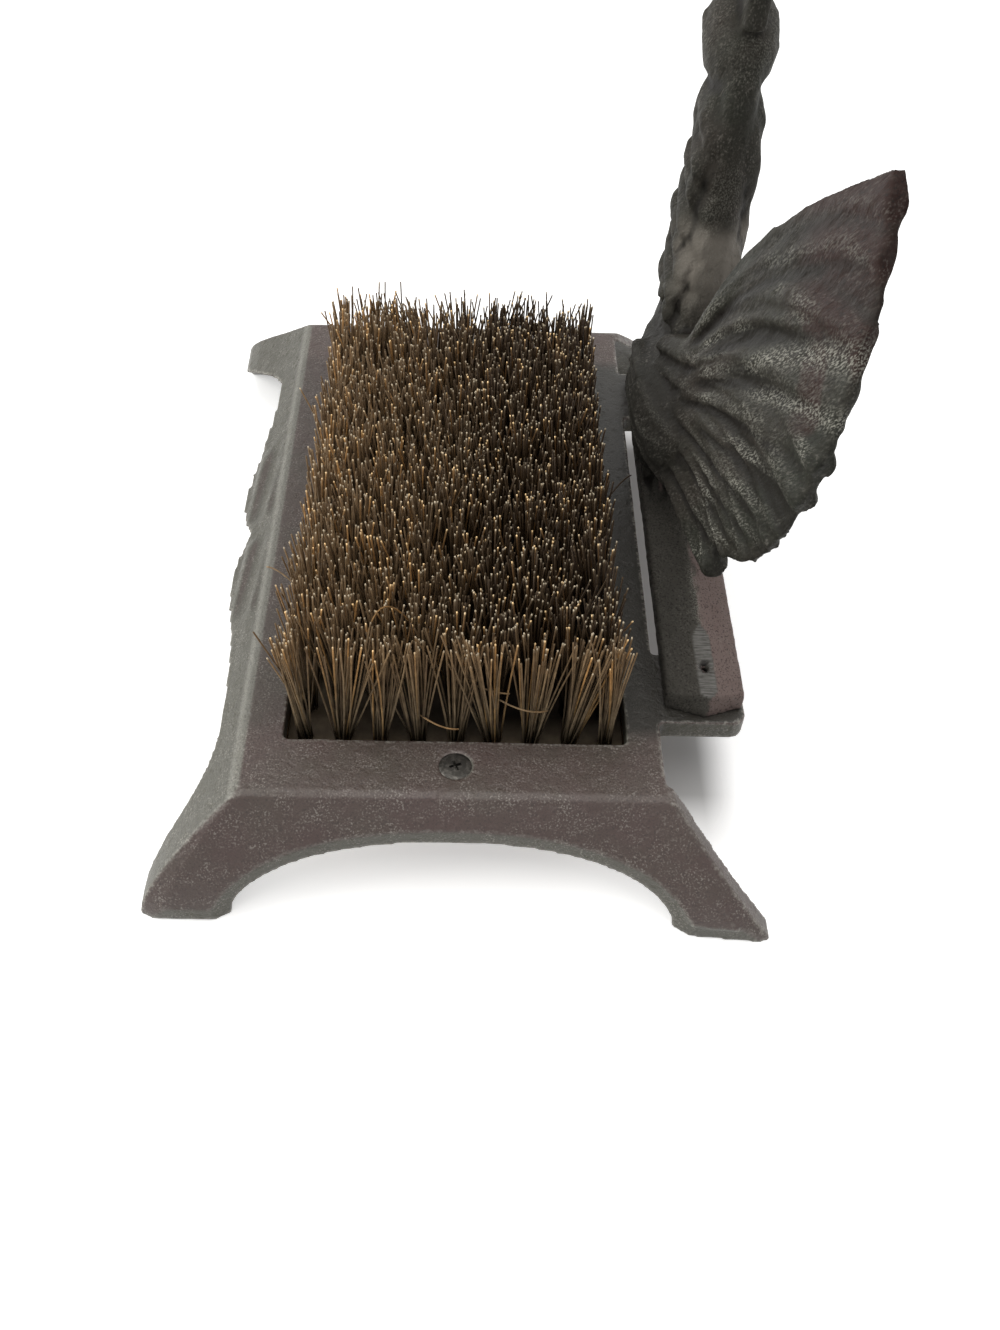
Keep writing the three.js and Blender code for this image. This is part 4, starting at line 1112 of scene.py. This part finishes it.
bird = recast(
    "cockerel_casting", "cockerel_on_bar", BIRD_VOXEL, BIRD_SOFTENING, is_bird, FORM_ROUNDS
)
relief = note_relief(bird, BIRD_RELIEF_ROUNDS, BIRD_RELIEF_REACH)
push_skin(bird, bird_skin)
ground, pit, red, crease, sheen, worn = np.zeros((6, len(bird.data.vertices)))
for index, vert in enumerate(bird.data.vertices):
    reach, angle = tail_place(vert.co)
    ragged = angle + RED_RAGGED * noise.noise(vert.co * RED_RAGGED_SCALE)
    red[index] = smooth_step(*RED_REACH, reach) * smooth_step(*RED_ANGLE, ragged)
    crease[index] = tail_crease(vert.co)
    on_tail = smooth_step(*SHEEN_START, reach) * (1 - smooth_step(*TAIL_TOP, angle))
    sheen[index] = SHEEN_LEAST + (1 - SHEEN_LEAST) * on_tail
    for spread, middle in WORN_CRESTS:
        off_crest = angle - middle - WORN_SLOPE * (WORN_MIDDLE - reach)
        worn[index] += math.exp(-(off_crest / spread) ** 2) * smooth_step(*WORN_START, reach)
    along_bar = (abs(vert.co.y) - GROUND_NEAR) / (GROUND_FULL - GROUND_NEAR)
    depth = GROUND_DEPTH * min(max(along_bar, 0), 1)
    if depth > 0 and ridge - depth < vert.co.z < ridge + RIDGE_NEAR:
        vert.co.z = ridge - depth
        ground[index] = 1
        off_pit = math.hypot(
            (vert.co.x - bar_x) / PIT_WIDTH, (abs(vert.co.y) - PIT_Y) / PIT_LENGTH
        )
        pit[index] = 1 - smooth_step(*PIT_EDGE, off_pit)
        vert.co.z -= PIT_DEPTH * pit[index]
points, normals, edges = mesh_arrays(bird.data)
_, point_y, point_z = points.T
facing_x, facing_y, _ = normals.T
rim = (relief > RIM_RELIEF).astype(float)
for _ in range(RIM_ROUNDS):
    rim = mean_of_neighbours(rim, edges)
on_bar = below(point_z, ridge + BAR_TOP[0], BAR_TOP[1])
nape = above(-facing_y, *NAPE_FACES) * above(point_y, *NAPE_BACK)
nape *= below(point_z, *NAPE_TOP) * above(point_z, *NAPE_FOOT)
for _ in range(NAPE_ROUNDS):
    nape = (nape + mean_of_neighbours(nape, edges)) / 2
# Painted shade on the body's left flank, low down.
flank = above(-facing_x, *FLANK_FACES) * below(point_z, *FLANK_TOP) * (1 - on_bar)
for name, values in (
    ("ground", ground),
    ("pit", pit),
    ("red", red),
    ("crease", crease),
    ("sheen", sheen * (1 - np.clip(RIM_DULLS * rim, 0, 1))),
    ("worn", np.minimum(worn, 1)),
    ("bar", on_bar),
    ("nape", nape),
    ("shade", flank * above(point_y, *FLANK_BACK)),
    # The bar's right slope: painted light, with a redder tone.
    ("lit_red_slope", on_bar * above(facing_x, *SLOPE_FACES)),
):
    keep_layer(bird, name, values)
bird.data.shade_smooth()
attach(bird, "root")
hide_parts("cockerel_on_bar")

material, tree = new_material("figure_iron")
place = object_place(tree)
turned = put(
    tree, "ShaderNodeMapping", "along the feathers",
    Vector=place, Rotation=(FEATHER_TURN, 0.0, 0.0),
)
drawing = put(
    tree, "ShaderNodeVectorMath", "drawn out",
    i0=turned.outputs[0], i1=(1.0, 1 - FEATHER_DRAW, 1.0),
)
drawing.operation = "MULTIPLY"
drawn = drawing.outputs[0]
skin = use_group(tree, sand_cast, "skin", Place=drawn, Grain_Size=850.0, Speck_Size=1900.0)
arrises = use_group(tree, rubbed_edges, "arrises", Place=drawn, Amount=0.05)
proud = layer_value(tree, "relief")
fold = layer_value(tree, "crease")
nape_patches = span(tree, "nape patches", skin["Patch"], 0.0, 1.0, 0.95, 0.6)
mottled_nape = times(tree, "mottled nape", layer_value(tree, "nape"), nape_patches)
# Painted shade: the tail's creases and the hollows between the feathers are darkened.
in_creases = span(tree, "in creases", fold, -0.02, -0.4)
between_feathers = span(tree, "between feathers", proud, -0.04, -0.4)
hollow = larger(tree, "any hollow", in_creases, between_feathers)
# Painted highlights: glints on the tail's ridges and folds, as far as the sheen lets them, and on
# the two streaks of wear.
on_ridges = span(tree, "on ridges", proud, 0.10, 0.45)
on_folds = span(tree, "on folds", fold, 0.12, 0.5)
any_ridge = larger(tree, "any ridge", on_ridges, on_folds)
crest = times(tree, "crests", any_ridge, layer_value(tree, "sheen"))
bands = span(tree, "bands", speckle(tree, "glint bands", place, 36.0, 3.0), 0.42, 0.62, 0.12, 1.0)
sparks = span(tree, "sparks", speckle(tree, "sparkle", drawn, 2700.0, 2.0), 0.46, 0.66)
crest_glint = times(tree, "crest glint", crest, bands)
bright = larger(tree, "glints and worn streaks", crest_glint, layer_value(tree, "worn"))
glint = times(tree, "glint", bright, sparks)
mark_way = put(tree, "ShaderNodeMapping", "across the bar", Vector=place, Scale=GROUND_STRETCH)
marks = speckle(tree, "grinding marks", mark_way.outputs[0], 1.0, 3.0)
mark_depth = span(tree, "mark depth", marks, 0.36, 0.64)
ground_tone = blend_colour(tree, "ground iron", mark_depth, GROUND_IRON, GROUND_MARKS)
tone = blend_colour(tree, "black-brown finish", skin["Patch"], BIRD_BROWN, BIRD_GREY)
tone = lay_coats(tree, tone, (
    ("red flank", layer_value(tree, "red"), 1.0, BIRD_RED),
    # Painted shade on the left flank.
    ("painted shade on the flank", layer_value(tree, "shade"), 0.8, BIRD_SHADE),
    ("bar finish", layer_value(tree, "bar"), 1.0, BAR_GREY),
    # Painted light on the right slope, with a redder tone.
    ("lit red slope", layer_value(tree, "lit_red_slope"), 1.0, BAR_RED_LIT),
    ("soot", skin["Soot"], 0.65, BIRD_SOOT),
    ("pale nape", mottled_nape, 1.0, BIRD_NAPE),
    ("specks", skin["Speck"], 0.22, IRON_SPECK),
    # Painted shade in the hollows.
    ("dark hollows", hollow, 0.88, BIRD_SHADE),
    # Painted highlights as glints.
    ("glints", glint, 0.7, BIRD_GLINT),
    ("rubbed arrises", arrises["Rubbed"], 1.0, BIRD_RUBBED),
    # Painted shade in the creases.
    ("dirt", arrises["Dirt"], 0.75, BIRD_CREASE_SHADE),
    ("ground flats", layer_value(tree, "ground"), 1.0, ground_tone),
    ("screw pits", layer_value(tree, "pit"), 1.0, PIT_DARK),
))
bump = put(
    tree, "ShaderNodeBump", "grain bump", Height=skin["Height"], Strength=0.8, Distance=0.0006
)
finish = put(
    tree, "ShaderNodeBsdfPrincipled", "cast iron",
    Base_Color=tone, Normal=bump.outputs[0], Specular_IOR_Level=0.1,
    Roughness=span(tree, "satin", skin["Height"], 0.3, 0.8, 0.74, 0.56),
)
put(tree, "ShaderNodeOutputMaterial", "output", Surface=finish.outputs[0])
dress(bird, material)


# Bar screws: dull zinc-plated machine screws with pan heads, driven up through the ledges into
# the bar. Only their heads show, from below.
PAN_HEIGHT = 0.0032
PAN_RECESS_Z = -0.0001
BOLT_SHANK = 0.0025
BOLT_END = 0.0021
BOLT_EASE = 0.0004
ZINC_STEEL = (0.24, 0.235, 0.225, 1)
ZINC_RUBBED = (0.40, 0.395, 0.38, 1)

zinc_steel = screw_steel("steel_screw", ZINC_STEEL, ZINC_RUBBED)
for end in ("front", "rear"):
    low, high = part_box(f"bar_screw_{end}")
    place = Vector(((low.x + high.x) / 2, (low.y + high.y) / 2, low.z))
    head = (high.x - low.x) / 2
    top = high.z - low.z
    outline = (
        (0, 0), (0.5 * head, 0.0001), (0.72 * head, 0.0004), (0.88 * head, 0.001),
        (0.97 * head, 0.0018), (head, 0.0026), (head, PAN_HEIGHT), (BOLT_SHANK, PAN_HEIGHT),
        (BOLT_SHANK, top - BOLT_EASE), (BOLT_END, top), (0, top),
    )
    screw = turn_screw(f"pan_head_{end}", outline, place, PAN_RECESS_Z, -1)
    dress(screw, zinc_steel)
    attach(screw, "root")
    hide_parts(f"bar_screw_{end}")


low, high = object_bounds()
